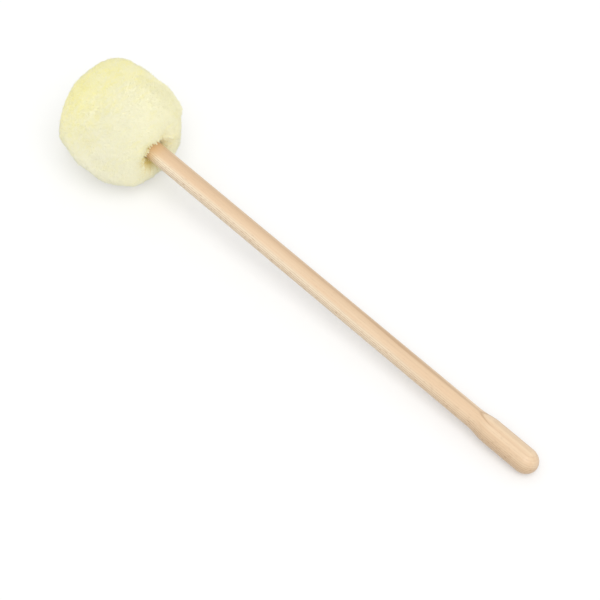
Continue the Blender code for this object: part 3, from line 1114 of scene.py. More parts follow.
OUTLINE_LUMPS = (
    Lump(110.0, 0.0, 0.0005, 11.0),
    Lump(122.0, 0.0, -0.0009, 10.0),
    Lump(355.0, 0.0, -0.0008, 12.0),
    Lump(79.0, 0.0, 0.0012, 9.0),
    Lump(2.0, 0.0, -0.0012, 8.0),
    Lump(345.0, 0.0, 0.0010, 8.0),
    Lump(15.0, 0.0, 0.0005, 6.0),
    Lump(34.0, 0.0, -0.0006, 10.0),
    Lump(151.0, 0.0, -0.0009, 9.0),
    Lump(166.0, 0.0, 0.0008, 7.0),
    Lump(198.0, 0.0, -0.0017, 20.0),
    Lump(258.0, 0.0, 0.0017, 16.0),
    Lump(307.0, 0.0, -0.0013, 16.0),
    Lump(230.0, 40.0, 0.0005, 14.0),
    Lump(20.0, 50.0, -0.0004, 12.0),
    Lump(270.0, 5.0, 0.0012, 14.0),
    Lump(185.0, 0.0, 0.0006, 12.0),
    Lump(10.0, 0.0, -0.0012, 14.0),
    Lump(40.0, 41.0, -0.0044, 7.5),
    Lump(22.0, 33.0, -0.0044, 9.0),
    Lump(14.0, 27.0, -0.0010, 8.0),
    Lump(55.0, 36.0, -0.0038, 7.0),
    Lump(56.0, 22.0, -0.0036, 7.0),
    Lump(52.0, 2.0, -0.0014, 8.0),
    Lump(29.0, 0.0, -0.0014, 7.0),
)


@dataclass
class FleecePile:
    """The fleece's pile: short plush strands standing on a soft ground.

    The outside follows the same superellipse and neck dimple as the CAD solid, with gentle
    lumps on it. Strands lean and gather in tufts.

    Attributes:
        head_radius: Radius of the plain outside.
        neck_fullness: How much further it stands out on the handle's side.
        squareness: Power of the superellipse.
        inner_radius: Radius of the ground's inside.
        neck_radius: Radius of the hole for the handle.
        hem_centre: Middle of the cover's rolled hem, as (radius, z).
        hem_radius: Radius round it that the pile keeps out of.
        neck_depth: How far the pile's edge at the neck stands above its inside there.
        dimple_spread: Width of the dimple, as an angle, all round.
        dimple_opening: How much wider it is on its open side than the mean, as an angle.
        open_side: Turn about local Z of that side.
        length: How far the strands stand above the ground.
        swell: How far the outside stands beyond the plain shape.
        strands: How many strands are spread, before those over the handle are left out.
        strand_margin: Angle that the strands' roots keep from the pile's edge at the neck.
        pieces: How many meshes they are shared among.
        tufts: How many tufts they gather in.
        strand_radius: Radius of a strand at its root.
        ground_rows: Rings of the ground's outside.
        ground_steps: Points round each of them.
        ground_lift: How high the ground keeps above the surface that the head lies on.
        least_ground: Least thickness of the ground.
        least_tip: How far a strand's tip keeps at least above what the pile lies on.
        root_sink: How far below the ground's outside a strand starts.
        least_length: Least length of a strand.
        knee: How far along a strand its bend is, as a share.
        knee_bend: How far sideways it has come there, as a share.
        soft_lumps: How many small soft lumps are spread over the outside.
        soft_height: How far the highest of them stands out.
        soft_spread: Width of each, as an angle.
        lean: How far the pile is brushed over, as an angle.
        brush_waves: How many waves make up the way it is brushed.
        tuft_lean: How far the tufts lean besides, as a share of that.
        stray: How far single strands stray, as an angle.
        clump: How far a strand's tip draws to the middle of its tuft, as a share.
        tuft_round: How much lower the tips at a tuft's edge are.
        tip_wear: How far the shortest strand ends below the outside.
        tuft_drop: How much the tufts differ in height.
        proud_share: Share of the strands that stand out.
        proud_height: How far the highest of them does.
        locks: How many pointed locks hang over the start of the handle.
        lock_strands: How many strands each of them has.
        lock_side: Turn about local Z of the middle one.
        lock_sweep: Angle from it to the last on either side.
        lock_roots: Angles from the handle between which their strands start.
        lock_length: Lengths of the shortest and the longest lock.
        lock_rise: How far the locks' strands are bent outwards.
        lock_sink: How far below the outside their tips start from.
        seed: Seed of the random draws.
        rise: Direction, height and width of every lump, in the axis frame.
    """

    head_radius: float = 0.0342
    neck_fullness: float = 0.0015
    squareness: float = 2.30
    inner_radius: float = 0.0270
    neck_radius: float = 0.00605
    hem_centre: tuple[float, float] = (0.0084, -0.0228)
    hem_radius: float = 0.00265
    neck_depth: float = 0.0008
    dimple_spread: float = math.radians(13.0)
    dimple_opening: float = math.radians(1.4)
    open_side: float = math.radians(-116.0)
    length: float = 0.0017
    swell: float = 0.0001
    strands: int = 77_000
    strand_margin: float = math.radians(0.8)
    pieces: int = 7
    tufts: int = 1_500
    strand_radius: float = 0.00013
    ground_rows: int = 96
    ground_steps: int = 160
    ground_lift: float = 0.0011
    least_ground: float = 0.0006
    least_tip: float = 0.0011
    root_sink: float = 0.0004
    least_length: float = 0.0005
    knee: float = 0.62
    knee_bend: float = 0.25
    soft_lumps: int = 260
    soft_height: float = 0.00036
    soft_spread: float = math.radians(6.5)
    lean: float = 0.024
    brush_waves: int = 14
    tuft_lean: float = 0.2
    stray: float = 0.012
    clump: float = 0.12
    tuft_round: float = 0.0002
    tip_wear: float = 0.0010
    tuft_drop: float = 0.00014
    proud_share: float = 0.03
    proud_height: float = 0.0010
    locks: int = 22
    lock_strands: int = 16
    lock_side: float = math.radians(-24.0)
    lock_sweep: float = math.radians(72.0)
    lock_roots: Span = (math.radians(19.0), math.radians(26.0))
    lock_length: Span = (0.0010, 0.0024)
    lock_rise: float = 0.0003
    lock_sink: float = 0.0004
    seed: int = 7
    rise: list[tuple[np.ndarray, float, float]] = field(default_factory=list)

    def settle_lumps(self, axis: MalletAxis, view: "PhotoView") -> None:
        """Work out every lump's direction in the axis frame.

        Args:
            axis: The mallet's axis.
            view: The camera's place, which the outline's lumps are given from.
        """
        right, up, back = view.axes()
        for lump in OUTLINE_LUMPS:
            direction = axis.to_local(lump.direction(right, up, back))
            self.rise.append((np.array(direction), lump.height, math.radians(lump.spread)))
        draw = np.random.default_rng(self.seed)
        shift = draw.normal(0.0, 0.06, (self.soft_lumps, 3))
        directions = unit(spread_directions(self.soft_lumps) + shift)
        heights = draw.uniform(-self.soft_height, self.soft_height, self.soft_lumps)
        for direction, height in zip(directions, heights):
            self.rise.append((direction, float(height), self.soft_spread))

    @property
    def neck_z(self) -> float:
        """Distance along the axis from the head's centre to the pile's edge at the neck."""
        drop = math.sqrt(self.hem_radius**2 - (self.hem_centre[0] - self.neck_radius) ** 2)
        return drop - self.hem_centre[1] + self.neck_depth

    @property
    def neck_angle(self) -> float:
        """Angle from the handle's direction to the pile's edge at the neck."""
        return math.atan2(self.neck_radius, self.neck_z)

    def plain_reach(self, angle: np.ndarray) -> np.ndarray:
        """Distance from the head's centre to the outside, with no lumps and no dimple.

        Args:
            angle: Angles from the handle's direction.

        Returns:
            The distance at each.
        """
        across = np.abs(np.sin(angle))
        along = np.abs(np.cos(angle))
        half = self.head_radius + self.neck_fullness * np.maximum(0.0, np.cos(angle)) ** 2
        power = self.squareness
        return ((across / self.head_radius) ** power + (along / half) ** power) ** (-1.0 / power)

    def reach(self, directions: np.ndarray) -> np.ndarray:
        """Distance from the head's centre to the outside of the pile.

        Args:
            directions: Unit vectors in the axis frame.

        Returns:
            The distance along each.
        """
        angle = np.arccos(np.clip(-directions[:, 2], -1.0, 1.0))
        outside = self.plain_reach(angle) + self.swell
        for direction, height, spread in self.rise:
            apart = np.clip(directions @ direction, -1.0, 1.0)
            outside += height * np.exp((apart - 1.0) * 2.0 / spread**2)
        edge = math.hypot(self.neck_radius, self.neck_z)
        depth = self.plain_reach(np.array([self.neck_angle]))[0] - edge
        turn = np.arctan2(directions[:, 1], directions[:, 0])
        spread = self.dimple_spread + self.dimple_opening * np.cos(turn - self.open_side)
        return outside - depth * np.exp((self.neck_angle**2 - angle**2) / spread**2)

    def floor(self, directions: np.ndarray) -> np.ndarray:
        """Distance from the head's centre to what the pile lies on: the ball and the hem.

        Args:
            directions: Unit vectors in the axis frame.

        Returns:
            The distance along each.
        """
        angle = np.arccos(np.clip(-directions[:, 2], -1.0, 1.0))
        hem_angle = math.atan2(self.hem_centre[0], -self.hem_centre[1])
        far = math.hypot(*self.hem_centre)
        apart = angle - hem_angle
        half = np.sqrt(np.maximum(0.0, self.hem_radius**2 - (far * np.sin(apart)) ** 2))
        return np.where(apart < 0.0, far * np.cos(apart) + half, self.inner_radius)

    def ground(self, directions: np.ndarray) -> np.ndarray:
        """Distance from the head's centre to the ground that the strands stand on."""
        least = self.floor(directions) + self.least_ground
        return np.maximum(least, self.reach(directions) - self.length)

    def build_ground(self, bench: Bench, material: bpy.types.Material) -> bpy.types.Object:
        """Model the soft ground under the strands as a closed shell.

        Args:
            bench: Where it is laid.
            material: Its finish.

        Returns:
            The ground.
        """
        angles = np.linspace(math.pi, self.neck_angle, self.ground_rows + 1)[1:]
        outline = [(math.sin(a), -math.cos(a)) for a in angles]
        outer = turned_points(outline, self.ground_steps)
        directions = unit(outer.reshape(-1, 3))
        outer = (directions * self.ground(directions)[:, None]).reshape(outer.shape)
        low = np.full(outer.shape[:2], self.ground_lift)
        outer = bench.axis.lifted(outer, low)
        hem_turn = math.atan2(self.hem_centre[1], self.hem_centre[0])
        hem_start = -math.acos((self.neck_radius - self.hem_centre[0]) / self.hem_radius)
        inner = arc(self.hem_centre, self.hem_radius, hem_start, hem_turn, 12)[:-1]
        inner += arc((0.0, 0.0), self.inner_radius, hem_turn, QUARTER_TURN, 48)[:-1]
        rings = np.concatenate((outer, turned_points(inner, self.ground_steps)))
        top = self.ground(np.array([[0.0, 0.0, 1.0]]))[0]
        mesh = turned_mesh("fleece_ground", rings, top, self.inner_radius)
        piece = bench.lay(mesh, material, "pile")
        return piece

    def strand_roots(self, draw: np.random.Generator) -> np.ndarray:
        """Directions of the strands' roots, clear of the handle, in order round the axis.

        Args:
            draw: The random draws.

        Returns:
            Unit vectors in the axis frame.
        """
        count = self.strands
        shift = draw.normal(0.0, 1.4 / math.sqrt(count), (count, 3))
        roots = unit(spread_directions(count) + shift)
        angle = np.arccos(np.clip(-roots[:, 2], -1.0, 1.0))
        roots = roots[angle > self.neck_angle + self.strand_margin]
        return roots[np.argsort(np.arctan2(roots[:, 1], roots[:, 0]))]

    def gather(self, roots: np.ndarray, draw: np.random.Generator) -> tuple[np.ndarray, np.ndarray]:
        """Give each strand its tuft.

        Args:
            roots: The strands' root directions.
            draw: The random draws.

        Returns:
            The directions of the tufts' middles, and the number of each strand's tuft.
        """
        shift = draw.normal(0.0, 0.7 / math.sqrt(self.tufts), (self.tufts, 3))
        middles = unit(spread_directions(self.tufts) + shift)
        nearest = np.empty(len(roots), np.int32)
        batch = 4096
        for start in range(0, len(roots), batch):
            part = slice(start, start + batch)
            nearest[part] = np.argmax(roots[part] @ middles.T, axis=1)
        return middles, nearest

    def flow(self, roots: np.ndarray, draw: np.random.Generator) -> np.ndarray:
        """The way the pile is brushed: a smooth field along the ball's surface.

        Args:
            roots: The strands' root directions.
            draw: The random draws.

        Returns:
            How each strand is pushed over, at a length of about 1.
        """
        push_over = np.zeros_like(roots)
        for _ in range(self.brush_waves):
            wave = draw.normal(0.0, 3.2, 3)
            push = draw.normal(0.0, 1.0, 3)
            push_over += np.cos(roots @ wave + draw.uniform(0.0, FULL_TURN))[:, None] * push
        push_over -= (push_over * roots).sum(axis=1, keepdims=True) * roots
        return push_over / 3.0

    def tip_reach(
        self,
        tips: np.ndarray,
        towards_middle: np.ndarray,
        tuft: np.ndarray,
        draw: np.random.Generator,
    ) -> np.ndarray:
        """Distance from the head's centre to the strands' tips, uneven as worn plush is.

        Args:
            tips: The tips' directions.
            towards_middle: From each strand's root to the middle of its tuft.
            tuft: The number of each strand's tuft.
            draw: The random draws.

        Returns:
            The distance of each tip.
        """
        tuft_width = math.sqrt(4.0 / self.tufts)
        off_middle = np.clip(np.linalg.norm(towards_middle, axis=1) / tuft_width, 0.0, 1.3)
        wear = draw.uniform(0.0, 1.0, len(tips)) ** 1.5
        drop = self.tuft_round * off_middle**2 + self.tip_wear * wear
        drop += draw.normal(0.0, self.tuft_drop, self.tufts)[tuft]
        stands_out = draw.uniform(size=len(tips)) < self.proud_share
        drop -= np.where(stands_out, draw.uniform(0.0, self.proud_height, len(tips)), 0.0)
        return np.maximum(self.reach(tips) - drop, self.floor(tips) + self.least_tip)

    def build_strands(
        self, bench: Bench, material: bpy.types.Material
    ) -> list[bpy.types.Object]:
        """Model the strands, shared among several meshes round the axis.

        Args:
            bench: Where they are laid.
            material: Their finish.

        Returns:
            The meshes' objects.
        """
        draw = np.random.default_rng(self.seed + 1)
        roots = self.strand_roots(draw)
        middles, tuft = self.gather(roots, draw)
        brushed = self.flow(roots, draw) * self.lean
        leaning = draw.normal(0.0, self.tuft_lean * self.lean, (self.tufts, 3))[tuft]
        stray = draw.normal(0.0, self.stray, roots.shape)
        towards_middle = middles[tuft] - roots
        tips = unit(roots + brushed + leaning + self.clump * towards_middle + stray)
        tip_reach = self.tip_reach(tips, towards_middle, tuft, draw)
        root_reach = np.minimum(self.ground(roots) - self.root_sink, tip_reach - self.least_length)
        root_points = roots * root_reach[:, None]
        tip_points = tips * tip_reach[:, None]
        knee_reach = root_reach + self.knee * (tip_reach - root_reach)
        knee_points = unit(roots + self.knee_bend * (tips - roots)) * knee_reach[:, None]

        pieces = []
        clear_radius = self.neck_radius - 0.0002
        shares = np.array_split(np.arange(len(roots)), self.pieces)
        for number, part in enumerate(shares, start=1):
            curves = (root_points[part], knee_points[part], tip_points[part])
            strands = Strands(*curves, self.strand_radius)
            mesh = strands.mesh(f"fleece_pile_{number}", bench.axis, clear_radius, draw)
            pieces.append(bench.lay(mesh, material, "pile"))
        mesh = self.fringe(draw).mesh("fleece_fringe", bench.axis, self.neck_radius, draw)
        pieces.append(bench.lay(mesh, material, "pile"))
        return pieces

    def fringe(self, draw: np.random.Generator) -> "Strands":
        """The pointed locks that hang from the pile's edge over the start of the handle.

        Args:
            draw: The random draws.

        Returns:
            Their strands.
        """
        lock = np.repeat(np.arange(self.locks), self.lock_strands)
        count = len(lock)
        turns = self.lock_side + np.linspace(-self.lock_sweep, self.lock_sweep, self.locks)
        pitch = turns[1] - turns[0]
        middle = turns + draw.uniform(-0.25, 0.25, self.locks) * pitch
        length = draw.uniform(*self.lock_length, self.locks)[lock] * draw.uniform(0.85, 1.0, count)
        root_turn = middle[lock] + draw.uniform(-0.6, 0.6, count) * pitch
        tip_turn = middle[lock] + draw.normal(0.0, 0.08, count) * pitch

        def directions(turn: np.ndarray, angle: np.ndarray) -> np.ndarray:
            """Unit vectors in the axis frame.

            Args:
                turn: Turns round the axis.
                angle: Angles from the handle's direction.

            Returns:
                One vector for each.
            """
            across = np.sin(angle)
            parts = (across * np.cos(turn), across * np.sin(turn), -np.cos(angle))
            return np.stack(parts, axis=1)

        start = directions(root_turn, draw.uniform(*self.lock_roots, count))
        end = directions(tip_turn, np.full(count, sum(self.lock_roots) / 2))
        roots = start * self.ground(start)[:, None]
        tips = end * (self.reach(end) - self.lock_sink)[:, None]
        tips[:, 2] -= length
        knees = (roots + tips) / 2 + end * self.lock_rise
        return Strands(roots, knees, tips, self.strand_radius)

    def build(self, bench: Bench) -> None:
        """Model the ground and the strands and dress them.

        Light passes between fibres as fine as these, so the strands cast no shadow and
        throw no light on what is beside them. The ground under them does both.

        Args:
            bench: Where they are laid.
        """
        ground = FleeceFinish(
            "fleece_ground",
            cream=(0.96, 0.925, 0.65),
            lemon=(0.95, 0.900, 0.45),
            root=(0.79, 0.66, 0.25),
        )
        self.build_ground(bench, ground.material())
        for piece in self.build_strands(bench, FleeceFinish("lemon_fleece").material()):
            piece.visible_shadow = False
            piece.visible_diffuse = False


@dataclass
class Strands:
    """Many short tapered strands, each a closed three-sided form with a pointed tip.

    Attributes:
        roots: Where they start.
        knees: What bends them.
        tips: Where they end.
        radius: Radius at the root.
        STATIONS: Places along a strand and its girth there, both as shares.
        SIDES: How many sides a strand has.
        GIRTH: How thin and how thick strands are, as a share of the radius.
        RESTING: How high their lowest points lie above the surface that the head lies on.
    """

    roots: np.ndarray
    knees: np.ndarray
    tips: np.ndarray
    radius: float

    STATIONS = ((0.0, 1.0), (0.5, 0.95), (0.84, 0.68))
    SIDES = 3
    GIRTH = (0.75, 1.25)
    RESTING = (0.0001, 0.0007)

    def along(self, share: float) -> np.ndarray:
        """Points of the strands on their bent curves.

        Args:
            share: How far along each, from 0 to 1.

        Returns:
            One point of each strand.
        """
        left = 1.0 - share
        bent = left * left * self.roots + 2.0 * left * share * self.knees
        return bent + share * share * self.tips

    def mesh(
        self, name: str, axis: MalletAxis, clear_radius: float, draw: np.random.Generator
    ) -> bpy.types.Mesh:
        """Make one mesh of the strands.

        Args:
            name: The mesh's name.
            axis: The mallet's axis, for the plane that the head rests on.
            clear_radius: Radius that the handle fills, which the strands keep out of.
            draw: The random draws.

        Returns:
            The mesh, with its bake map.
        """
        count = len(self.roots)
        spine = unit(self.tips - self.roots)
        helper = unit(draw.normal(0.0, 1.0, (count, 3)))
        first = unit(np.cross(spine, helper))
        second = np.cross(spine, first)
        width = self.radius * draw.uniform(*self.GIRTH, count)
        rings = []
        for share, girth in self.STATIONS:
            middle = self.along(share)
            for side in range(self.SIDES):
                turn = side * FULL_TURN / self.SIDES
                offset = math.cos(turn) * first + math.sin(turn) * second
                rings.append(middle + offset * (width * girth)[:, None])
        rings.append(self.tips)
        points = np.stack(rings, axis=1)
        points = self.clear_of_handle(points, clear_radius)
        lowest = np.broadcast_to(draw.uniform(*self.RESTING, (count, 1)), points.shape[:2])
        points = axis.lifted(points, lowest)
        faces = self.faces(count)
        mesh = mesh_from_arrays(name, points.reshape(-1, 3), faces)
        self.lay_out_map(mesh, count)
        shares = np.repeat([share for share, _ in self.STATIONS], self.SIDES)
        along = mesh.attributes.new(ALONG, "FLOAT", "POINT")
        along.data.foreach_set("value", np.tile(np.append(shares, 1.0), count))
        return mesh

    def clear_of_handle(self, points: np.ndarray, clear_radius: float) -> np.ndarray:
        """Move points out of the handle, away from the axis.

        Args:
            points: Points in the axis frame.
            clear_radius: Radius that the handle fills.

        Returns:
            The points, moved where they were inside it.
        """
        across = np.linalg.norm(points[..., :2], axis=2)
        inside = (points[..., 2] < 0.0) & (across < clear_radius)
        scale = np.where(inside, clear_radius / np.maximum(across, 1e-6), 1.0)
        moved = points.copy()
        moved[..., :2] *= scale[..., None]
        return moved

    def faces(self, count: int) -> list[np.ndarray]:
        """Faces of all strands: root caps, sides and tips.

        Args:
            count: How many strands there are.

        Returns:
            Arrays of faces, each of one number of corners.
        """
        sides = self.SIDES
        rows = len(self.STATIONS)
        base = (np.arange(count) * (sides * rows + 1))[:, None]
        caps = base + np.arange(sides)[::-1][None, :]
        quads = []
        for row in range(rows - 1):
            for side in range(sides):
                beside = (side + 1) % sides
                low, high = row * sides, (row + 1) * sides
                quad = (low + side, low + beside, high + beside, high + side)
                quads.append(base + np.array([quad]))
        last = (rows - 1) * sides
        ends = [
            base + np.array([[last + side, last + (side + 1) % sides, sides * rows]])
            for side in range(sides)
        ]
        return [caps, np.concatenate(quads), np.concatenate(ends)]

    def lay_out_map(self, mesh: bpy.types.Mesh, count: int) -> None:
        """Give the strands a map on which each has a cell of its own.

        Args:
            mesh: The strands' mesh.
            count: How many strands it holds.
        """
        across = math.ceil(math.sqrt(count))
        number = np.arange(count)
        cell = np.stack((number % across, number // across), axis=1) / across
        inset = 0.12
        rows = len(self.STATIONS) + 1
        triangle = ((0.0, 0.0), (1.0, 0.0), (0.5, 1.0))
        square = ((0.0, 0.0), (1.0, 0.0), (1.0, 1.0), (0.0, 1.0))
        corners = [self.cell_corners(triangle, 0, 0, 1, rows)]
        for row in range(len(self.STATIONS) - 1):
            for side in range(self.SIDES):
                corners.append(self.cell_corners(square, side, row + 1, self.SIDES, rows))
        for side in range(self.SIDES):
            corners.append(self.cell_corners(triangle, side, rows - 1, self.SIDES, rows))
        placed = [
            (cell[:, None, :] + (inset + (1.0 - 2.0 * inset) * part[None]) / across).reshape(-1, 2)
            for part in corners
        ]
        layer = mesh.uv_layers.new(name=BAKE_MAP)
        layer.uv.foreach_set("vector", np.concatenate(placed).astype(np.float32).ravel())

    @staticmethod
    def cell_corners(
        shape: Sequence[tuple[float, float]], column: int, row: int, columns: int, rows: int
    ) -> np.ndarray:
        """Corners of one face inside a strand's cell."""
        return np.array([((column + x) / columns, (row + y) / rows) for x, y in shape])


@dataclass
class HeadFilling:
    """What the fleece hides: core, screw, washer, felt wrap, wadding, cover and thread.

    Attributes:
        core_radius: Radius of the core ball.
        core_seat_margin: How much wider than the handle the core's flat seat is, all round.
        crown_web: Wood of the core between the screw's recess and the tenon's bore.
        screw_length: Length of the screw under its head.
        screw_head_height: Height of its head.
        washer_radius: Radius of the washer.
        washer_thickness: Thickness of the washer.
        felt_thickness: Thickness of the felt wrap.
        felt_dent: Deepest dent in the felt wrap.
        padding_thickness: Thickness of the wadding.
        padding_dent: Deepest dent in the wadding.
        dents: How many dents each of the two has.
        dent_spread: Width of each, as an angle.
        cloth_thickness: Thickness of the cover's cloth.
        hem_sweep: Angle through which the cloth is rolled in as a hem.
        neck_clearance: Radius of the holes that the handle goes through.
        thread_radius: Radius of the gathering thread.
        thread_turns: How often it goes round the neck.
        thread_pitch: Distance between its turns.
        thread_plies: How many plies it is twisted from.
        thread_twists: How often they twist round each other over its length.
        ply_share: A ply's radius as a share of the thread's.
        cloth_cut: Width and length of the piece that the cover is cut from; not used.
        cloth_area: Area of the cut cover, which is rounded off at the crown; not used.
        steps: Points round each ring.
    """

    core_radius: float = 0.0180
    core_seat_margin: float = 0.0012
    crown_web: float = 0.0050
    screw_length: float = 0.0250
    screw_head_height: float = 0.0022
    washer_radius: float = 0.0055
    washer_thickness: float = 0.0010
    felt_thickness: float = 0.0030
    felt_dent: float = 0.0001
    padding_thickness: float = 0.0040
    padding_dent: float = 0.0005
    dents: int = 180
    dent_spread: float = math.radians(9.0)
    cloth_thickness: float = 0.0008
    hem_sweep: float = math.radians(235.0)
    neck_clearance: float = 0.00605
    thread_radius: float = 0.00035
    thread_turns: float = 1.5
    thread_pitch: float = 0.0012
    thread_plies: int = 2
    thread_twists: float = 42.0
    ply_share: float = 0.52
    cloth_cut: tuple[float, float] = (0.168, 0.095)
    cloth_area: float = 0.0093
    steps: int = 96

    @property
    def recess_floor(self) -> float:
        """Local z of the floor of the recess for the screw's head and the washer."""
        rim = math.sqrt(self.core_radius**2 - (self.washer_radius + GAP) ** 2)
        return rim - self.washer_thickness - self.screw_head_height - 3 * GAP

    @property
    def felt_radius(self) -> float:
        """Outer radius of the felt wrap."""
        return self.core_radius + GAP + self.felt_thickness

    @property
    def padding_radius(self) -> float:
        """Outer radius of the wadding."""
        return self.felt_radius + GAP + self.padding_thickness

    @property
    def cover_radius(self) -> float:
        """Outer radius of the cover's cloth."""
        return self.padding_radius + GAP + self.cloth_thickness

    @property
    def casing_radius(self) -> float:
        """Radius of the rolled hem, outside."""
        bundle = self.thread_turns * self.thread_pitch / 2 + self.thread_radius
        return bundle + GAP + self.cloth_thickness

    @property
    def casing_centre(self) -> tuple[float, float]:
        """Middle of the rolled hem.

        Returns:
            Its (radius, z).
        """
        radius = self.neck_clearance + self.casing_radius
        reach = self.cover_radius - self.casing_radius
        return radius, -math.sqrt(reach**2 - radius**2)

    def layer(
        self, name: str, inner: float, outer: float, neck: float, dent: float, seed: int
    ) -> bpy.types.Mesh:
        """A round layer with a hole at the neck and a softly dented outside.

        Args:
            name: The mesh's name.
            inner: Inner radius.
            outer: Outer radius.
            neck: Radius of the hole.
            dent: Deepest dent.
            seed: Seed of the dents.

        Returns:
            The mesh.
        """
        outside = arc((0.0, 0.0), outer, QUARTER_TURN, -math.acos(neck / outer), 60)[1:]
        inside = arc((0.0, 0.0), inner, -math.acos(neck / inner), QUARTER_TURN, 48)[:-1]
        rings = turned_points(outside, self.steps)
        draw = np.random.default_rng(seed)
        shift = draw.normal(0.0, 0.1, (self.dents, 3))
        spots = unit(spread_directions(self.dents) + shift)
        depths = draw.uniform(0.0, dent, self.dents)
        directions = unit(rings.reshape(-1, 3))
        near = np.exp((directions @ spots.T - 1.0) * 2.0 / self.dent_spread**2)
        fall = np.clip((near * depths).sum(axis=1), 0.0, dent)
        rings = (rings.reshape(-1, 3) - directions * fall[:, None]).reshape(rings.shape)
        rings = np.concatenate((rings, turned_points(inside, self.steps)))
        return turned_mesh(name, rings, outer - dent / 2, inner)

    def cover(self) -> bpy.types.Mesh:
        """The cover's cloth: over the ball, gathered towards the neck, rolled in as a hem.

        Returns:
            The mesh.
        """
        centre = self.casing_centre
        start = math.atan2(centre[1], centre[0])
        end = start - self.hem_sweep
        inner_radius = self.cover_radius - self.cloth_thickness
        outer = arc((0.0, 0.0), self.cover_radius, QUARTER_TURN, start, 60)[1:]
        outer += arc(centre, self.casing_radius, start, end, 24)[1:]
        inner = arc(centre, self.casing_radius - self.cloth_thickness, end, start, 24)
        inner += arc((0.0, 0.0), inner_radius, start, QUARTER_TURN, 60)[1:-1]
        rings = turned_points(outer + inner, self.steps * 2)
        return turned_mesh("cover_cloth", rings, self.cover_radius, inner_radius)

    def thread(self, name: str) -> bpy.types.Mesh:
        """Two plies twisted round each other along the thread's short helix.

        Args:
            name: The mesh's name.

        Returns:
            The mesh.
        """
        points_round, count = 10, 360
        ply_radius = self.thread_radius * self.ply_share
        offset = self.thread_radius - ply_radius
        radius, middle_z = self.casing_centre
        share = np.linspace(0.0, 1.0, count)
        angle = FULL_TURN * self.thread_turns * share
        z = middle_z + self.thread_pitch * self.thread_turns * (share - 0.5)
        line = np.stack((radius * np.cos(angle), radius * np.sin(angle), z), axis=1)
        outward = np.stack((np.cos(angle), np.sin(angle), np.zeros(count)), axis=1)
        upward = np.tile([[0.0, 0.0, 1.0]], (count, 1))
        points, faces = [], []
        for ply in range(self.thread_plies):
            twist = share * FULL_TURN * self.thread_twists + ply * FULL_TURN / self.thread_plies
            aside = np.cos(twist)[:, None] * outward + np.sin(twist)[:, None] * upward
            centre = line + offset * aside
            turn = np.arange(points_round) * FULL_TURN / points_round
            ring = np.cos(turn)[None, :, None] * outward[:, None]
            ring = ring + np.sin(turn)[None, :, None] * upward[:, None]
            tube = centre[:, None] + ply_radius * ring
            first = ply * count * points_round
            points.append(tube.reshape(-1, 3))
            faces.append(ring_faces(count, points_round, False) + first)
            round_ring = np.arange(points_round)
            caps = np.stack((round_ring[::-1], round_ring + (count - 1) * points_round))
            faces.append(caps + first)
        return mesh_from_arrays(name, np.concatenate(points), faces)

    def build(self, bench: Bench) -> None:
        """Model the soft layers, dress the carried-over hard ones.

        Args:
            bench: Where they are laid.
        """
        birch = WoodFinish(
            "core_wood",
            pale=(0.62, 0.44, 0.27),
            tan=(0.50, 0.33, 0.19),
            heart_and_shade=(0.55, 0.37, 0.22),
            sap_and_light=(0.66, 0.48, 0.31),
            bright=(0.68, 0.50, 0.33),
        )
        bench.dress("core", birch.material())
        steel = SteelFinish("zinc_plate").material()
        bench.dress("core_screw", steel)
        bench.dress("core_washer", steel)
        felt = FeltedFinish(
            "pressed_felt",
            light=(0.80, 0.78, 0.72),
            dark=(0.58, 0.56, 0.50),
            clump=700.0,
            depth=0.00008,
        )
        inner = self.core_radius + GAP
        hole = self.neck_clearance
        mesh = self.layer("felt_wrap", inner, self.felt_radius, hole, self.felt_dent, 21)
        bench.lay(mesh, felt.material(), "inner_felt")
        wadding = FeltedFinish(
            "loose_wadding",
            light=(0.90, 0.88, 0.80),
            dark=(0.72, 0.69, 0.58),
            clump=260.0,
            depth=0.0003,
        )
        hole = self.casing_centre[0] + self.casing_radius + GAP
        inner = self.felt_radius + GAP
        mesh = self.layer("wadding_ball", inner, self.padding_radius, hole, self.padding_dent, 22)
        bench.lay(mesh, wadding.material(), "padding")
        knit = KnitFinish(
            "knitted_cloth",
            face=(0.86, 0.82, 0.60),
            gap=(0.58, 0.53, 0.33),
            pitch=0.0007,
            depth=0.00012,
        )
        cloth = bench.lay(self.cover(), knit.material(), "cover_backing")
        waxed = KnitFinish(
            "waxed_yarn",
            face=(0.82, 0.78, 0.62),
            gap=(0.60, 0.55, 0.40),
            pitch=0.0002,
            depth=0.00003,
        )
        bench.lay(self.thread("hem_thread"), waxed.material(), "gathering_thread")


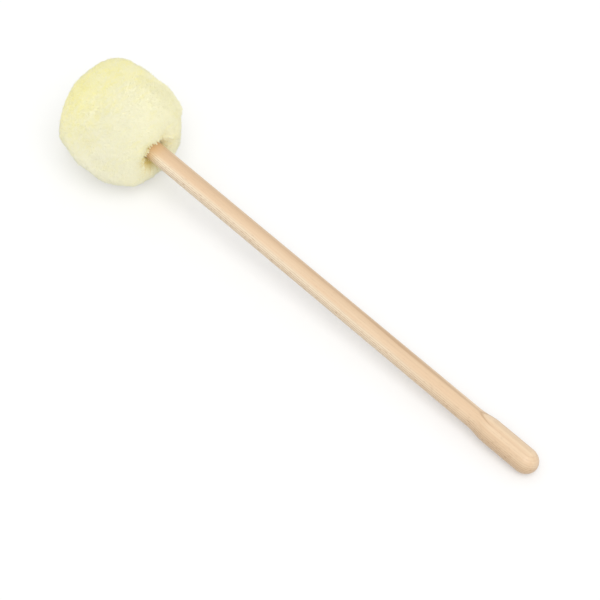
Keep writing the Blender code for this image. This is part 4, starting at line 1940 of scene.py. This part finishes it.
@dataclass(frozen=True)
class PhotoView:
    """The camera.

    Attributes:
        target: The point at the middle of the picture.
        azimuth: Its bearing round the mallet, in degrees; 0 looks along +Y.
        elevation: Its height above the horizon, in degrees.
        distance: How far it is from the target.
        lens: Focal length, in millimetres.
        sensor: Width of the sensor, in millimetres.
        far: How far the camera sees.
    """

    target: tuple[float, float, float] = (0.01344, -0.01304, 0.02034)
    azimuth: float = 43.26
    elevation: float = 55.0
    distance: float = 1.36
    lens: float = 147.6
    sensor: float = 36.0
    far: float = 20.0

    def axes(self) -> tuple[Vector, Vector, Vector]:
        """The camera's three axes.

        Returns:
            The picture's right, its up, and the way back to the camera.
        """
        turn = math.radians(self.azimuth)
        lift = math.radians(self.elevation)
        level = math.cos(lift)
        back = Vector((math.sin(turn) * level, -math.cos(turn) * level, math.sin(lift)))
        right = Vector((0.0, 0.0, 1.0)).cross(back).normalized()
        return right, back.cross(right), back

    def build(self) -> None:
        """Make the scene's camera."""
        right, up, back = self.axes()
        data = bpy.data.cameras.new("photo_view")
        data.lens = self.lens
        data.sensor_width = self.sensor
        data.clip_end = self.far
        camera = bpy.data.objects.new("photo_view", data)
        bpy.context.scene.collection.objects.link(camera)
        turn = Matrix((right, up, back)).transposed().to_4x4()
        camera.matrix_world = Matrix.Translation(Vector(self.target) + back * self.distance) @ turn
        bpy.context.scene.camera = camera


@dataclass(frozen=True)
class Studio:
    """Plain pale floor and soft overhead light.

    Attributes:
        sky: Strength of the soft light from all sides.
        sky_slope: How much brighter it is overhead than at the horizon, as a share.
        lamp: Strength of the broad lamp overhead.
        lamp_width: How broad the lamp is, as an angle in degrees.
        lamp_lean: How far it stands from straight above, in degrees.
        lamp_bearing: Which way it stands, in degrees; 0 is towards +X and 90 towards +Y.
        floor_colour: The floor, as far as it sends back the light that falls on it.
        floor_glow: What is added to its brightness where it is seen, but not to its light.
        floor_size: The floor's half width.
        floor_drop: How far it lies below the mallet.
        floor_grain: Scale of its faint grain, per metre.
        floor_grain_share: How much lighter the grain is than the floor.
    """

    sky: float = 0.665
    sky_slope: float = 0.45
    lamp: float = 1.36
    lamp_width: float = 50.0
    lamp_lean: float = 26.0
    lamp_bearing: float = 330.0
    floor_colour: Colour = (0.69, 0.69, 0.687)
    floor_glow: float = 0.265
    floor_size: float = 8.0
    floor_drop: float = 0.00005
    floor_grain: float = 40.0
    floor_grain_share: float = 1.02

    def seen(self, tree: bpy.types.NodeTree) -> bpy.types.NodeSocket:
        """Whether the camera sees the place, straight, mirrored or through glass.

        Args:
            tree: The node tree that asks.

        Returns:
            1 if it does, 0 for light that falls on the object.
        """
        rays = tree.nodes.new("ShaderNodeLightPath")
        glossy = tree.nodes.new("ShaderNodeMath")
        glossy.operation = "ADD"
        tree.links.new(rays.outputs["Is Camera Ray"], glossy.inputs[0])
        tree.links.new(rays.outputs["Is Glossy Ray"], glossy.inputs[1])
        through = tree.nodes.new("ShaderNodeMath")
        through.operation = "ADD"
        through.use_clamp = True
        tree.links.new(glossy.outputs[0], through.inputs[0])
        tree.links.new(rays.outputs["Is Transmission Ray"], through.inputs[1])
        return through.outputs[0]

    def build_floor(self) -> None:
        """Lay the floor, white to the camera with the mallet's shadow kept."""
        size = self.floor_size
        mesh = bpy.data.meshes.new("floor")
        level = CAD_BOX[0].z - self.floor_drop
        corners = ((-size, -size), (size, -size), (size, size), (-size, size))
        mesh.from_pydata([(x, y, level) for x, y in corners], [], [(0, 1, 2, 3)])
        floor = bpy.data.objects.new("floor", mesh)
        bpy.context.scene.collection.objects.link(floor)
        sheet = NodeSheet("white_floor")
        grain = sheet.noise(sheet.place(), self.floor_grain, 2.0)
        lighter = tuple(part * self.floor_grain_share for part in self.floor_colour)
        colour = sheet.mix(grain, self.floor_colour, lighter)
        sheet.feed(sheet.shader.inputs["Base Color"], colour)
        sheet.constants(Roughness=1.0, Specular_IOR_Level=0.0)
        glow = sheet.add("ShaderNodeEmission")
        strength = sheet.math("MULTIPLY", self.seen(sheet.tree), self.floor_glow)
        sheet.feed(glow.inputs["Strength"], strength)
        both = sheet.add("ShaderNodeAddShader")
        sheet.feed(both.inputs[0], sheet.shader.outputs[0])
        sheet.feed(both.inputs[1], glow.outputs[0])
        sheet.feed(sheet.tree.nodes["Material Output"].inputs["Surface"], both.outputs[0])
        mesh.materials.append(sheet.material)

    def build_world(self) -> None:
        """Light the scene softly, with white behind it for the camera and in reflections."""
        world = bpy.data.worlds.new("studio")
        world.use_nodes = True
        tree = world.node_tree
        light = tree.nodes["Background"]
        light.inputs["Color"].default_value = (1.0, 1.0, 1.0, 1.0)
        place = tree.nodes.new("ShaderNodeTexCoord")
        height = tree.nodes.new("ShaderNodeSeparateXYZ")
        tree.links.new(place.outputs["Generated"], height.inputs[0])
        level = tree.nodes.new("ShaderNodeMapRange")
        level.inputs["To Min"].default_value = self.sky * (1.0 - self.sky_slope / 2)
        level.inputs["To Max"].default_value = self.sky * (1.0 + self.sky_slope / 2)
        tree.links.new(height.outputs["Z"], level.inputs["Value"])
        tree.links.new(level.outputs[0], light.inputs["Strength"])
        white = tree.nodes.new("ShaderNodeBackground")
        white.inputs["Color"].default_value = (1.0, 1.0, 1.0, 1.0)
        choice = tree.nodes.new("ShaderNodeMixShader")
        tree.links.new(self.seen(tree), choice.inputs[0])
        tree.links.new(light.outputs[0], choice.inputs[1])
        tree.links.new(white.outputs[0], choice.inputs[2])
        tree.links.new(choice.outputs[0], tree.nodes["World Output"].inputs["Surface"])
        bpy.context.scene.world = world

    def build_lamp(self) -> None:
        """Hang the broad lamp overhead."""
        data = bpy.data.lights.new("overhead", "SUN")
        data.energy = self.lamp
        data.angle = math.radians(self.lamp_width)
        lamp = bpy.data.objects.new("overhead", data)
        bearing = math.radians(self.lamp_bearing)
        lean = math.radians(self.lamp_lean)
        aside = math.sin(lean)
        x, y = math.cos(bearing) * aside, math.sin(bearing) * aside
        towards = Vector((x, y, math.cos(lean)))
        lamp.location = towards
        lamp.rotation_mode = "QUATERNION"
        lamp.rotation_quaternion = towards.to_track_quat("Z", "Y")
        bpy.context.scene.collection.objects.link(lamp)

    def build(self) -> None:
        """Set up floor, world, lamp and the plain view transform."""
        self.build_floor()
        self.build_world()
        self.build_lamp()
        bpy.context.scene.view_settings.view_transform = "Standard"


def main() -> None:
    """Build the mallet's looks in order, then the studio round it."""
    logging.basicConfig(level=logging.INFO, format="%(message)s")
    view = PhotoView()
    view.build()
    handle = Handle()
    filling = HeadFilling()
    handle.fit_into(filling)
    axis = MalletAxis.from_handle(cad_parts["shaft"], handle.reach)
    LOG.info("head centre at %s", [round(part, 5) for part in axis.centre])
    bench = Bench(axis)
    handle.build(bench)
    filling.build(bench)
    fleece = FleecePile(
        hem_centre=filling.casing_centre, hem_radius=filling.casing_radius + GAP
    )
    fleece.settle_lumps(axis, view)
    fleece.build(bench)
    Studio().build()


if __name__ == "__main__":
    main()
